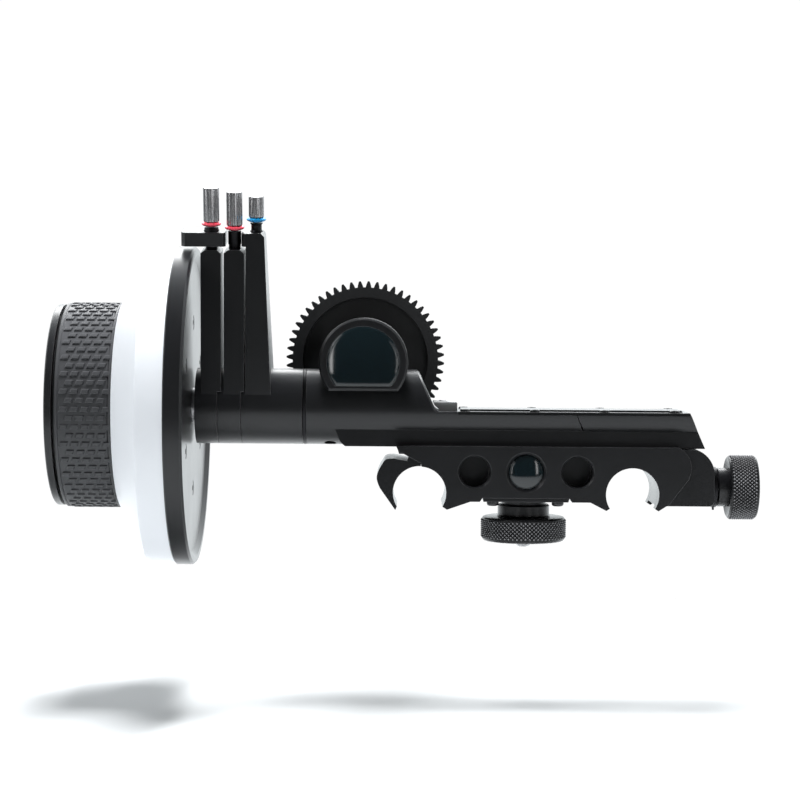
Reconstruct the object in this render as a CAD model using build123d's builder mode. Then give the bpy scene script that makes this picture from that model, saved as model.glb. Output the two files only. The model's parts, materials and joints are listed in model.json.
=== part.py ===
"""Follow focus unit for a pair of 15 mm support rods.

Millimetres. X runs along the handwheel shaft, Y along the rods and Z up. The origin is half way
between the two rods, at the height of their axes. The handwheel lies towards -X and its shaft is
parallel to X. The gear that drives the lens lies towards +Y, behind the housing.
"""
from build123d import *
from math import acos, cos, pi, radians, sin, sqrt, tan
import os

os.makedirs("parts", exist_ok=True)

# ---------------------------------------------------------------- driving dimensions
# support rods and the fits used all over
rod_r = 7.5
rod_pitch = 60.0
run_gap = 0.06           # radial clearance of a turning or sliding fit
seat_gap = 0.03          # radial clearance of a piece that is seated and does not move
air_gap = 0.3            # gap between neighbours that pass each other

# bridge that clamps on the rods
bridge_top_z = 12.6
bridge_half_depth = 10.6
cheek_thickness = 1.8
cheek_top_z = 13.35
cheek_left_x = -36.75
cheek_slope_end_x = -29.4
cheek_slope_end_z = 8.3
belly_z = -2.3
lip_tip_z = -4.6
lip_half_width = 7.75
lip_run_left = 6.6
lip_run_right = 4.5
end_block_x = 53.3
end_block_z = -3.3
end_round = 1.6
end_curve_z = 5.1
end_curve_mid = (1.3, 9.8)
end_curve_run = 4.8
cheek_top_end_x = 43.0
cheek_nose_x = 46.5
cheek_nose_z = 8.2
cheek_waist_x = 44.9
cheek_waist_z = 3.2
cheek_low_x = 40.2
cheek_low_z = -2.9
cheek_lead = 0.7
cheek_lead_h = 1.5
lip_inset = 0.4
lip_end_run = 2.0
window_x = 14.5
window_z = 6.1
window_r = 4.3
window_depth = 7.0
window_edge = 0.45
badge_r = 4.9
badge_rim_r = 5.7
badge_depth = 1.3
badge_crown = 0.7

# hook on the left rod
hook_half_depth = 10.4
hook_top_z = 9.6
hook_crest = 7.3         # the hook's corners, as distances from the rod's axis
hook_neck = 3.6
hook_neck_z = 8.9
hook_foot = 3.0
hook_tip = 6.8
hook_tip_z = -5.0
hook_tip_in = 6.2
hook_tip_in_z = -3.6
hook_back = 11.2
hook_back_z = 1.2
hook_belly = 12.1
hook_belly_z = 4.6
hook_brow = 10.3
hook_brow_z = 8.5
shank_low_z = 8.3
shank_high_z = 10.9
shank_end_x = -20.2
hook_screw_x = -24.0
hook_screw_y = 6.0
hook_screw_r = 1.25
hook_screw_head_r = 2.5

# pusher and clamp knob on the right rod
pusher_half_depth = 7.6
pusher_low_z = -3.2
pusher_high_z = 5.6
pusher_length = 8.2
pusher_travel = 2.0
clamp_z = 1.4
clamp_screw_r = 2.5
clamp_groove_r = 1.6
dowel_r = 0.6
clamp_knob_x = 58.3
clamp_knob_length = 8.2
clamp_knob_r = 9.3
clamp_collar_r = 5.55
clamp_collar_length = 3.1
clamp_seat_depth = 5.5
spring_washer_r = 5.8
spring_washer_x = 53.5
spring_washer_t = 1.2
spring_washer_cone = 0.3
washer_end_r = 6.5       # one end of the split washer stands proud to this radius

# base plate, lock knob and lock shoe
base_plate_x = 12.3
base_plate_t = 1.05
base_boss_r = 6.4
base_boss_h = 1.5
base_screw_x = 9.2
base_screw_y = 8.4
base_screw_r = 1.0
base_screw_head_r = 1.7
base_screw_head_h = 1.4
lock_neck_r = 7.4
lock_neck_z = -7.4
lock_knob_r = 12.3
lock_knob_low_z = -14.3
lock_stud_r = 2.0
lock_stud_low_z = -16.0
shoe_x = 12.0
shoe_neck_y = 3.0
shoe_flange_y = 6.0
shoe_flange_z = 14.7
shoe_flange_t = 1.9
shoe_low_z = 10.2

# carriage that slides across the bridge
slide_gap = 0.3
tube_r = 10.8
foot_half_depth = 9.0
foot_height = 4.75
foot_left_x = -54.05
foot_bevel_w = 1.25
foot_bevel_h = 1.05
foot_right_x = 48.6
end_slope = 24.0         # degrees from the vertical, of the shoulder and of the right end
flat_drop = 0.7          # the milled flat lies this far under the wheel axis
shoulder_x = -31.9
shoulder_fillet = 2.0
shoulder_bevel = 0.5
seam_x = 13.4
seam_gap = 0.15
cover_hollow = 3.0
slot_half_length = 36.5
slot_ledge_z = 14.6
plate_t = 0.8
plate_rib_y = 5.9
plate_rib_h = 0.5
plate_half_depth = 10.2
top_screw_head_r = 1.4
top_screw_head_h = 0.6
stop_block_half_depth = 6.0
top_screw_x = (-17.3, 2.5, 22.3, 42.1)
top_screw_y = 7.5
stop_block_x = -26.4
stop_block_w = 7.0
stop_block_h = 2.5
top_screw_r = 0.8
top_screw_length = 8.4
block_screw_r = 0.9
block_screw_length = 6.7
case_screw_r = 0.8
case_screw_head_r = 1.3
case_screw_head_h = 1.0
set_screw_r = 1.7
set_screw_x = -55.5
set_screw_length = 2.6
set_screw_tilt = 18.5    # degrees towards the front, from straight down

# gear train: mitre pair, spur pair and the drive gear
gear_x = -46.0
spur_module = 0.5
spur_teeth = 26
spur_y = 5.0
spur_face = 4.0
mitre_module = 0.5
mitre_teeth = 16
mitre_face = 1.7
gear_thinning = 0.12     # each tooth is this much thinner than half the pitch, for backlash
drive_module = 0.8
drive_teeth = 56
drive_first_angle = 0.036  # radians, of a tooth's middle against the hub's flat
drive_y = 16.5
drive_face = 8.0
drive_rim_r = 18.4
drive_hub_r = 7.0
drive_shaft_r = 3.0
cross_shaft_r = 1.5
cross_front_y = -8.7
bush_r = 2.5
drive_bore_front_y = -6.2
mitre_bore_r = 2.0
mitre_hub_r = 3.6
web_recess = 2.6
shaft_flat = 0.6
gear_screw_r = 1.3

# gear case on the tube
boss_r = 12.5
boss_front_y = -17.0
boss_flat = 7.85         # the flat lies this far under the gear axis
lens_r = 10.15
lens_flat = 6.55
lens_rim_depth = 1.4
lens_crown = 1.2
case_r = 10.0
case_rear_y = 9.4
case_cover_t = 4.7

# wheel shaft, bearings and the fixed stop tube
shaft_r = 4.0
bearing_r = 7.0
bearing_w = 4.0
drive_bearing_r = 6.0
sleeve_r = 8.6
sleeve_left_x = -93.9
ring_a_x = -93.7
ring_b_x = -87.3
post_ring_x = -80.6
tube_joint_x = -63.2
joint_ring_w = 1.0
joint_bevel = 0.15
spigot_length = 4.5
spigot_r = 8.2

# stop arms, measured as radii from the wheel axis
arm_tilt = 11.5
arm_w = 5.7
arm_a_x = -89.05
arm_b_x = -82.55
arm_top_half_depth = 4.0
arm_root_half_depth = 9.6
arm_root_r = 3.0
arm_edge_w = 1.1
arm_edge_h = 0.9
post_rise = 4.75         # the post stands this much higher than the arms
post_left_x = -79.2
post_top_w = 5.2
post_root_w = 7.4
post_root_run = 0.3
post_pin_x = -76.4
head_left_x = -80.4
head_height = 3.65
head_bevel = 0.8
stem_depth = 2.0
stem_low_r = 1.7
stem_high_r = 1.85
stem_step = 1.2
stem_waist_r = 1.5
stem_cap_r = 2.25
stem_cap_top_r = 1.9
pointer_clear = 1.4      # the pointer passes this far outside the disc
pointer_height = 3.9
pointer_neck = 1.0       # bare stem between the first arm and the pointer
pointer_left_x = -97.3
pointer_right_x = -84.9
pointer_bevel = 1.05
pointer_edge = 0.7
rod_pin_r = 0.9
knurl_r = 2.25
post_knurl_r = 2.15
pin_a_rise = 2.6         # from the pointer, the second arm and the post up to the heads
pin_b_rise = 6.5
pin_c_rise = 4.1
pin_a_length = 9.6
pin_b_length = 9.5
pin_c_length = 5.9
pin_neck_r = 1.5
pin_edge = 0.1
o_ring_h = 1.3
spring_low_r = 30.0
spring_bore_r = 1.7
spring_collar_r = 1.5
spring_coil_r = 1.3
spring_wire_r = 0.2
spring_turns = 6
ring_gap = 0.1
tube_bore_r = 4.7
o_ring_r = 0.6

# handwheel
wheel_left_x = -133.3
face_plate_t = 2.0
face_plate_r = 28.7
face_bevel = 0.3
grip_left_x = -130.4
grip_right_x = -114.9
grip_r = 29.3
drum_r = 26.9
disc_r = 45.4
disc_left_x = -99.0
disc_right_x = -93.8
disc_step = 0.5          # the disc's black rim stands this much proud of the scale
scale_corner_x = -106.5
scale_t = 1.7
scale_left_x = -114.8
scale_foot_w = 2.2
flange_bowl_r = 38.0
web_t = 2.4
hub_r = 9.5
bolt_r = 2.0
bolt_depth = 9.0
bolt_head_r = 6.0
bolt_head_h = 1.8
screw_shank_r = 1.2
screw_head_r = 2.1
screw_head_h = 1.1
screw_length = 5.4
web_screw_inset = 3.2
socket_square = 6.35
socket_depth = 6.0
socket_boss_r = 8.0
face_screw_pcd = 36.0

# ---------------------------------------------------------------- worked out from these
rod_x = rod_pitch / 2
foot_low_z = bridge_top_z + slide_gap
foot_top_z = foot_low_z + foot_height
wheel_z = foot_low_z + tube_r
flat_z = wheel_z - flat_drop
cheek_half_depth = bridge_half_depth + cheek_thickness
channel_half_depth = foot_half_depth + slide_gap
foot_end_run = (foot_height - foot_bevel_h) * tan(radians(end_slope))
spur_r = spur_module * spur_teeth / 2
gear_z = wheel_z + 2 * spur_r
mitre_r = mitre_module * mitre_teeth / 2
case_outer_y = case_rear_y + case_cover_t
badge_sphere_r = (badge_r ** 2 + badge_crown ** 2) / (2 * badge_crown)
lens_sphere_r = (lens_r ** 2 + lens_crown ** 2) / (2 * lens_crown)
joint_right_x = tube_joint_x + joint_ring_w
bore_step_x = joint_right_x + spigot_length
scale_r = disc_r - disc_step
pointer_low_r = disc_r + pointer_clear
pointer_high_r = pointer_low_r + pointer_height
arm_top_r = pointer_low_r - pointer_neck
post_top_r = arm_top_r + post_rise
pin_a_low = pointer_high_r + pin_a_rise
pin_b_low = arm_top_r + pin_b_rise
pin_c_low = post_top_r + pin_c_rise
pusher_end_x = rod_x + rod_r + pusher_length
cut_size = 4 * boss_r
stem_seat_r = spring_bore_r - seat_gap
spur_room_r = spur_r + spur_module + 0.35
slope_run = tan(radians(end_slope))
end_x_at_flat = foot_right_x - (flat_z - foot_top_z) * slope_run

wheel_axis = Axis((0, 0, wheel_z), (1, 0, 0))
set_screw_plane = Plane(
    origin=(set_screw_x, 0, wheel_z),
    x_dir=(1, 0, 0),
    z_dir=(0, -sin(radians(set_screw_tilt)), -cos(radians(set_screw_tilt))),
)
gear_axis = Axis((gear_x, 0, gear_z), (0, 1, 0))
cross_axis = Axis((gear_x, 0, wheel_z), (0, 1, 0))
clamp_axis = Axis((0, 0, clamp_z), (1, 0, 0))

# planes whose first coordinate runs along the axis and whose second is the radius
wheel_plane = Plane(origin=(0, 0, wheel_z), x_dir=(1, 0, 0), z_dir=(0, -1, 0))
clamp_plane = Plane(origin=(0, 0, clamp_z), x_dir=(1, 0, 0), z_dir=(0, -1, 0))
gear_plane = Plane(origin=(gear_x, 0, gear_z), x_dir=(0, 1, 0), z_dir=(1, 0, 0))
cross_plane = Plane(origin=(gear_x, 0, wheel_z), x_dir=(0, 1, 0), z_dir=(1, 0, 0))

# the arms lean towards the operator by arm_tilt
lean_y = -sin(radians(arm_tilt))
lean_z = cos(radians(arm_tilt))
arm_plane = Plane(origin=(0, 0, wheel_z), x_dir=(1, 0, 0), z_dir=(0, -lean_z, lean_y))


def front(y):
    """Plane seen from the front, at depth y, whose normal points at the viewer."""
    return Plane(origin=(0, y, 0), x_dir=(1, 0, 0), z_dir=(0, -1, 0))


def arm_side(x):
    """Plane across the wheel axis at x, leaning with the arms: depth, then radius."""
    return Plane(origin=(x, 0, wheel_z), x_dir=(0, lean_z, -lean_y), z_dir=(1, 0, 0))


def arm_level(x, radius):
    """Plane square to an arm at a radius, centred on the arm's own line."""
    return Plane(
        origin=(x, lean_y * radius, wheel_z + lean_z * radius),
        x_dir=(1, 0, 0),
        z_dir=(0, lean_y, lean_z),
    )


def turned(plane, points, axis):
    """Add a turned solid: a closed profile of (along, radius) points spun about the axis."""
    with BuildSketch(plane) as profile:
        with BuildLine():
            Polyline(*points, close=True)
        make_face()
    revolve(profile.sketch, axis=axis)


def ring_points(start, end, inner, outer):
    """Profile of a plain ring between two stations."""
    return [(start, inner), (end, inner), (end, outer), (start, outer)]


def involute(angle):
    """Involute function of a pressure angle in radians."""
    return tan(angle) - angle


def spur_outline(teeth, module, thinning, first_angle):
    """Corner points of a spur gear's section; first_angle is a tooth's middle, in radians."""
    pitch = module * teeth / 2
    base = pitch * cos(radians(20))
    half = pi / (2 * teeth) - thinning / (2 * pitch)
    flank = []
    for radius in (pitch - 1.25 * module, pitch - 0.4 * module, pitch + 0.3 * module, pitch + module):
        pressure = acos(min(1.0, base / radius))
        flank.append((radius, half + involute(radians(20)) - involute(pressure)))
    points = []
    for tooth in range(teeth):
        middle = first_angle + 2 * pi * tooth / teeth
        rising = [(radius, middle - spread) for radius, spread in flank]
        falling = [(radius, middle + spread) for radius, spread in reversed(flank)]
        points += [(r * cos(a), r * sin(a)) for r, a in rising + falling]
    return points


def mitre_outline(teeth, module, thinning, first_angle, scale):
    """Corner points of a mitre gear's section, a scaled copy of the one at the large end."""
    pitch = module * teeth / 2
    flank = []
    for height in (-1.3 * module, 0.0, 0.9 * module):
        lift = height * sqrt(0.5)
        cone = pitch / (pitch - lift)
        radius = (pitch + lift) * cone
        half = (pi * module / 4 - thinning / 2 - height * tan(radians(20))) * cone
        flank.append((radius, half / radius))
    points = []
    for tooth in range(teeth):
        middle = first_angle + 2 * pi * tooth / teeth
        rising = [(radius, middle - spread) for radius, spread in flank]
        falling = [(radius, middle + spread) for radius, spread in reversed(flank)]
        points += [(scale * r * cos(a), scale * r * sin(a)) for r, a in rising + falling]
    return points


def toothed(plane, points, length):
    """Add a toothed blank: the outline on the plane, extruded along its normal."""
    with BuildSketch(plane) as outline:
        with BuildLine():
            Polyline(*points, close=True)
        make_face()
    extrude(outline.sketch, amount=length)


def write(builder, name):
    """Name the finished piece and write it to its own file."""
    builder.part.label = name
    export_step(builder.part, f"parts/{name}.step")


# ================================================================ bridge
lip_left = (-rod_x + lip_half_width, lip_tip_z)
lip_middle = (rod_x - lip_half_width + lip_inset, lip_tip_z)
lip_right = (rod_x + lip_half_width - lip_inset, lip_tip_z)
end_corner_x = end_block_x - end_round

with BuildPart() as bridge_body:
    # middle of the bridge, as deep as the clamp pieces between the cheeks
    with BuildSketch(front(bridge_half_depth)):
        with BuildLine():
            Polyline(
                (end_block_x - end_curve_run, bridge_top_z),
                (cheek_left_x + 0.4, bridge_top_z),
                (cheek_left_x + 0.9, shank_high_z + seat_gap),
                (shank_end_x + seat_gap, shank_high_z + seat_gap),
                (shank_end_x + seat_gap, shank_low_z - seat_gap),
                (-rod_x + 0.4, shank_low_z - seat_gap),
                (-rod_x + 0.4, 0),
                lip_left,
                (lip_left[0] + lip_run_left, belly_z),
                (lip_middle[0] - lip_run_right, belly_z),
                lip_middle,
                (rod_x, 0),
                lip_right,
                (lip_right[0] + lip_end_run, end_block_z),
                (end_corner_x, end_block_z),
            )
            RadiusArc((end_corner_x, end_block_z), (end_block_x, end_block_z + end_round), -end_round)
            Line((end_block_x, end_block_z + end_round), (end_block_x, end_curve_z))
            ThreePointArc(
                (end_block_x, end_curve_z),
                (end_block_x - end_curve_mid[0], end_curve_mid[1]),
                (end_block_x - end_curve_run, bridge_top_z),
            )
        make_face()
    extrude(amount=2 * bridge_half_depth)
    # the two cheeks that stand proud, front and rear
    with BuildSketch(front(cheek_half_depth), front(-bridge_half_depth)):
        with BuildLine():
            Polyline(
                (cheek_top_end_x, cheek_top_z),
                (cheek_left_x, cheek_top_z),
                (cheek_left_x + cheek_lead, cheek_top_z - cheek_lead_h),
                (cheek_slope_end_x, cheek_slope_end_z),
                (cheek_slope_end_x, 0),
                lip_left,
                (lip_left[0] + lip_run_left, belly_z),
                (lip_middle[0] - lip_run_right, belly_z),
                lip_middle,
                (rod_x, 0),
                lip_right,
                (lip_right[0] + lip_end_run, end_block_z),
                (cheek_low_x, cheek_low_z),
                (cheek_waist_x, cheek_waist_z),
            )
            ThreePointArc(
                (cheek_waist_x, cheek_waist_z),
                (cheek_nose_x, cheek_nose_z),
                (cheek_top_end_x, cheek_top_z),
            )
        make_face()
    extrude(amount=cheek_thickness)
    # rims of the channel in which the carriage's foot runs
    with BuildSketch(front(cheek_half_depth), front(-channel_half_depth)):
        with BuildLine():
            Polyline(
                (cheek_left_x + cheek_lead, cheek_top_z),
                (cheek_left_x + cheek_lead, bridge_top_z - 1),
                (cheek_top_end_x, bridge_top_z - 1),
                (cheek_top_end_x, cheek_top_z),
                close=True,
            )
        make_face()
    extrude(amount=cheek_half_depth - channel_half_depth)
    # bores for the two rods
    with BuildSketch(front(cheek_half_depth)):
        with Locations((-rod_x, 0), (rod_x, 0)):
            Circle(rod_r)
    extrude(amount=2 * cheek_half_depth, mode=Mode.SUBTRACT)
    # pocket of the pusher, open to the right rod and downwards
    with BuildSketch(front(pusher_half_depth + run_gap)):
        with BuildLine():
            Polyline(
                (rod_x + 3.0, lip_tip_z - 1),
                (pusher_end_x + pusher_travel + air_gap, lip_tip_z - 1),
                (pusher_end_x + pusher_travel + air_gap, pusher_high_z + run_gap),
                (rod_x + 3.0, pusher_high_z + run_gap),
                close=True,
            )
        make_face()
    extrude(amount=2 * (pusher_half_depth + run_gap), mode=Mode.SUBTRACT)
    # threaded hole of the clamp screw
    with BuildSketch(Plane.YZ.offset(end_block_x)):
        with Locations((0, clamp_z)):
            Circle(clamp_screw_r + run_gap)
    extrude(amount=-9, mode=Mode.SUBTRACT)
    # round windows front and rear, and the seat of the front lens
    for face_plane in (front(-cheek_half_depth), Plane(
        origin=(0, cheek_half_depth, 0), x_dir=(-1, 0, 0), z_dir=(0, 1, 0)
    )):
        with Locations(face_plane):
            with Locations((-window_x, window_z), (window_x, window_z)):
                CounterSinkHole(window_r, window_r + window_edge, window_depth)
    with Locations(front(-cheek_half_depth)):
        with Locations((0, window_z)):
            CounterSinkHole(badge_r + seat_gap, badge_rim_r, badge_depth)
    # recess of the base plate, with its bevelled ends
    with BuildSketch(front(cheek_half_depth)):
        with BuildLine():
            Polyline(
                (-base_plate_x, belly_z + base_plate_t),
                (base_plate_x, belly_z + base_plate_t),
                (base_plate_x + 0.7, belly_z - 0.01),
                (-base_plate_x - 0.7, belly_z - 0.01),
                close=True,
            )
        make_face()
    extrude(amount=2 * cheek_half_depth, mode=Mode.SUBTRACT)
    # pocket of the lock shoe and the bore of its stud
    with BuildSketch(Plane.XY.offset(bridge_top_z)):
        Rectangle(2 * (shoe_x + run_gap), 2 * (shoe_neck_y + run_gap))
    extrude(amount=shoe_low_z - air_gap - bridge_top_z, mode=Mode.SUBTRACT)
    with BuildSketch(Plane.XY.offset(bridge_top_z)):
        Circle(lock_stud_r + 0.6)
    extrude(amount=belly_z - bridge_top_z, mode=Mode.SUBTRACT)
    # screw holes: hook from above, base plate from below
    with Locations(Plane.XY.offset(bridge_top_z)):
        with Locations((hook_screw_x, hook_screw_y), (hook_screw_x, -hook_screw_y)):
            CounterSinkHole(
                hook_screw_r + seat_gap,
                hook_screw_head_r + seat_gap,
                bridge_top_z - shank_high_z + 0.1,
            )
    with BuildSketch(Plane.XY.offset(belly_z)):
        with GridLocations(2 * base_screw_x, 2 * base_screw_y, 2, 2):
            Circle(base_screw_r + seat_gap)
    extrude(amount=5.0, mode=Mode.SUBTRACT)
write(bridge_body, "bridge_body")

hook_screw_places = [(hook_screw_x, hook_screw_y), (hook_screw_x, -hook_screw_y)]
with BuildPart() as rod_hook:
    with BuildSketch(front(hook_half_depth)):
        with BuildLine():
            Polyline(
                (-rod_x - hook_crest, hook_top_z),
                (-rod_x - hook_neck, hook_neck_z),
                (-rod_x - hook_foot, shank_high_z),
                (shank_end_x, shank_high_z),
                (shank_end_x, shank_low_z),
                (-rod_x + 0.3, shank_low_z),
                (-rod_x + 0.3, 0),
                (-rod_x - hook_tip_in, hook_tip_in_z),
                (-rod_x - hook_tip, hook_tip_z),
                (-rod_x - hook_back, hook_back_z),
            )
            Spline(
                (-rod_x - hook_back, hook_back_z),
                (-rod_x - hook_belly, hook_belly_z),
                (-rod_x - hook_brow, hook_brow_z),
                (-rod_x - hook_crest, hook_top_z),
                tangents=((-0.45, 1.0), (1.0, 0.0)),
            )
        make_face()
    extrude(amount=2 * hook_half_depth)
    with BuildSketch(front(hook_half_depth)):
        with Locations((-rod_x, 0)):
            Circle(rod_r)
    extrude(amount=2 * hook_half_depth, mode=Mode.SUBTRACT)
    with BuildSketch(Plane.XY.offset(shank_high_z)):
        with Locations(*hook_screw_places):
            Circle(hook_screw_r + seat_gap)
    extrude(amount=shank_low_z - shank_high_z, mode=Mode.SUBTRACT)
write(rod_hook, "rod_hook")

with BuildPart() as hook_screws:
    with Locations(Plane.XY.offset(bridge_top_z - 0.05)):
        with Locations(*hook_screw_places):
            Cone(1.2, hook_screw_head_r - 0.1, 1.2, align=(Align.CENTER, Align.CENTER, Align.MAX))
            Cylinder(hook_screw_r, 4.0, align=(Align.CENTER, Align.CENTER, Align.MAX))
    with BuildSketch(Plane.XY.offset(bridge_top_z - 0.05)):
        with Locations(*hook_screw_places):
            RegularPolygon(1.0, 6)
    extrude(amount=-0.8, mode=Mode.SUBTRACT)
write(hook_screws, "hook_screws")

badge_seat_y = -cheek_half_depth + badge_depth
with BuildPart() as bridge_lens:
    with BuildSketch(front(badge_seat_y)):
        with Locations((0, window_z)):
            Circle(badge_r)
    extrude(amount=badge_depth)
    # crown of the lens: a shallow sphere whose edge lies just under the rim
    with Locations((0, -cheek_half_depth + badge_sphere_r, window_z)):
        Sphere(badge_sphere_r, mode=Mode.INTERSECT)
write(bridge_lens, "bridge_lens")

with BuildPart() as base_plate:
    with BuildSketch(front(cheek_half_depth - 0.2)):
        with BuildLine():
            Polyline(
                (-base_plate_x + 0.05, belly_z + base_plate_t),
                (base_plate_x - 0.05, belly_z + base_plate_t),
                (base_plate_x - 0.35, belly_z),
                (-base_plate_x + 0.35, belly_z),
                close=True,
            )
        make_face()
    extrude(amount=2 * (cheek_half_depth - 0.2))
    with BuildSketch(Plane.XY.offset(belly_z)):
        Circle(base_boss_r)
    extrude(amount=-base_boss_h)
    with BuildSketch(Plane.XY.offset(belly_z + base_plate_t)):
        Circle(lock_stud_r + run_gap)
        with GridLocations(2 * base_screw_x, 2 * base_screw_y, 2, 2):
            Circle(base_screw_r + seat_gap)
    extrude(amount=-base_plate_t - base_boss_h, mode=Mode.SUBTRACT)
write(base_plate, "base_plate")

with BuildPart() as base_plate_screws:
    with BuildSketch(Plane.XY.offset(belly_z)):
        with GridLocations(2 * base_screw_x, 2 * base_screw_y, 2, 2):
            Circle(base_screw_head_r)
    extrude(amount=-base_screw_head_h)
    fillet(base_plate_screws.faces().group_by(Axis.Z)[0].edges(), 0.7)
    with BuildSketch(Plane.XY.offset(belly_z)):
        with GridLocations(2 * base_screw_x, 2 * base_screw_y, 2, 2):
            Circle(base_screw_r)
    extrude(amount=4.6)
    with BuildSketch(Plane.XY.offset(belly_z - base_screw_head_h)):
        with GridLocations(2 * base_screw_x, 2 * base_screw_y, 2, 2):
            RegularPolygon(0.8, 6)
    extrude(amount=0.8, mode=Mode.SUBTRACT)
write(base_plate_screws, "base_plate_screws")

# ================================================================ rod clamp
clamp_tip_x = rod_x + rod_r + 2.6
groove_x = clamp_tip_x + 2.0
dowel_places = [(groove_x, clamp_groove_r + 0.1 + dowel_r), (groove_x, -clamp_groove_r - 0.1 - dowel_r)]
with BuildPart() as rod_pusher:
    with BuildSketch(front(pusher_half_depth)):
        with BuildLine():
            Polyline(
                (rod_x + 5.6, pusher_low_z),
                (pusher_end_x, pusher_low_z),
                (pusher_end_x, pusher_high_z),
                (rod_x + 4.4, pusher_high_z),
                close=True,
            )
        make_face()
        with Locations((rod_x, 0)):
            Circle(rod_r, mode=Mode.SUBTRACT)
    extrude(amount=2 * pusher_half_depth)
    with BuildSketch(Plane.YZ.offset(pusher_end_x)):
        with Locations((0, clamp_z)):
            Circle(clamp_screw_r + run_gap)
    extrude(amount=clamp_tip_x - pusher_end_x, mode=Mode.SUBTRACT)
    with BuildSketch(Plane.XY.offset(pusher_high_z)):
        with Locations(*dowel_places):
            Circle(dowel_r + seat_gap)
    extrude(amount=pusher_low_z - pusher_high_z, mode=Mode.SUBTRACT)
write(rod_pusher, "rod_pusher")

with BuildPart() as pusher_dowels:
    with BuildSketch(Plane.XY.offset(pusher_high_z - 0.2)):
        with Locations(*dowel_places):
            Circle(dowel_r)
    extrude(amount=pusher_low_z - pusher_high_z + 0.4)
write(pusher_dowels, "pusher_dowels")

with BuildPart() as clamp_screw:
    turned(
        clamp_plane,
        [
            (clamp_tip_x + 0.1, 0),
            (clamp_knob_x + clamp_seat_depth, 0),
            (clamp_knob_x + clamp_seat_depth, clamp_screw_r),
            (groove_x + dowel_r + 0.1, clamp_screw_r),
            (groove_x + dowel_r + 0.1, clamp_groove_r),
            (groove_x - dowel_r - 0.1, clamp_groove_r),
            (groove_x - dowel_r - 0.1, clamp_screw_r - 0.4),
            (clamp_tip_x + 0.1, clamp_screw_r - 0.6),
        ],
        clamp_axis,
    )
write(clamp_screw, "clamp_screw")

knob_end_x = clamp_knob_x + clamp_knob_length
collar_x = clamp_knob_x - clamp_collar_length
with BuildPart() as clamp_knob:
    turned(
        clamp_plane,
        [
            (collar_x, clamp_screw_r + seat_gap),
            (collar_x, clamp_collar_r - 0.3),
            (collar_x + 0.3, clamp_collar_r),
            (clamp_knob_x, clamp_collar_r),
            (clamp_knob_x, clamp_knob_r - 0.5),
            (clamp_knob_x + 0.5, clamp_knob_r),
            (knob_end_x - 1.0, clamp_knob_r),
            (knob_end_x, clamp_knob_r - 1.0),
            (knob_end_x, 4.6),
            (knob_end_x - 0.9, 3.8),
            (knob_end_x - 0.9, 0),
            (clamp_knob_x + clamp_seat_depth + 0.1, 0),
            (clamp_knob_x + clamp_seat_depth + 0.1, clamp_screw_r + seat_gap),
        ],
        clamp_axis,
    )
write(clamp_knob, "clamp_knob")

washer_right_x = spring_washer_x + spring_washer_t
with BuildPart() as spring_washer:
    turned(
        clamp_plane,
        [
            (spring_washer_x, clamp_screw_r + 0.25),
            (washer_right_x, clamp_screw_r + 0.25),
            (washer_right_x + spring_washer_cone, spring_washer_r),
            (spring_washer_x + spring_washer_cone, spring_washer_r),
        ],
        clamp_axis,
    )
    # split of the spring washer at its foot, and the end that stands proud beside it
    with BuildSketch(Plane.YZ.offset(spring_washer_x - 0.5)):
        with Locations((0.4, clamp_z - spring_washer_r + 1)):
            Rectangle(0.5, 4.5)
    extrude(amount=spring_washer_t + 1.5, mode=Mode.SUBTRACT)
    with BuildSketch(Plane.YZ.offset(spring_washer_x + 0.6)):
        with Locations((-0.4, clamp_z - washer_end_r)):
            Rectangle(1.0, 2.0, align=(Align.CENTER, Align.MIN))
    extrude(amount=0.5)
write(spring_washer, "spring_washer")

# ================================================================ carriage lock
with BuildPart() as lock_shoe:
    with BuildSketch(Plane.XY.offset(shoe_low_z)):
        Rectangle(2 * shoe_x, 2 * shoe_neck_y)
    extrude(amount=shoe_flange_z - shoe_low_z)
    with BuildSketch(Plane.XY.offset(shoe_flange_z)):
        Rectangle(2 * shoe_x, 2 * shoe_flange_y)
    extrude(amount=shoe_flange_t)
    chamfer(lock_shoe.edges().filter_by(Axis.Z), 0.8)
    with BuildSketch(Plane.XY.offset(shoe_low_z)):
        Circle(lock_stud_r + seat_gap)
    extrude(amount=5.0, mode=Mode.SUBTRACT)
write(lock_shoe, "lock_shoe")

with BuildPart() as lock_stud:
    with BuildSketch(Plane.XY.offset(lock_stud_low_z)):
        Circle(lock_stud_r)
    extrude(amount=shoe_low_z + 4.8 - lock_stud_low_z)
    chamfer(lock_stud.faces().sort_by(Axis.Z)[0].edges(), 0.4)
write(lock_stud, "lock_stud")

neck_top_z = belly_z - base_boss_h - 0.02
with BuildPart() as lock_knob:
    turned(
        Plane.XZ,
        [
            (lock_stud_r + run_gap, neck_top_z),
            (lock_neck_r - 0.4, neck_top_z),
            (lock_neck_r, neck_top_z - 0.4),
            (lock_neck_r, lock_neck_z + 0.5),
            (lock_neck_r + 0.4, lock_neck_z),
            (lock_knob_r, lock_neck_z),
            (lock_knob_r, lock_knob_low_z + 0.7),
            (lock_knob_r - 0.7, lock_knob_low_z),
            (5.4, lock_knob_low_z),
            (4.6, lock_knob_low_z + 0.8),
            (lock_stud_r + run_gap, lock_knob_low_z + 0.8),
        ],
        Axis.Z,
    )
write(lock_knob, "lock_knob")

# ================================================================ carriage and gear case
foot_run = foot_height * slope_run
plate_left_x = stop_block_x + stop_block_w + 0.1
top_screw_places = [(x, side * top_screw_y) for x in top_screw_x for side in (-1, 1)]
case_screw_places = [
    (gear_x - 8.5, gear_z + 6.0),
    (gear_x + 8.5, gear_z + 6.0),
    (gear_x - 6.1, wheel_z - 6.1),
    (gear_x + 6.1, wheel_z - 6.1),
]

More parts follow.
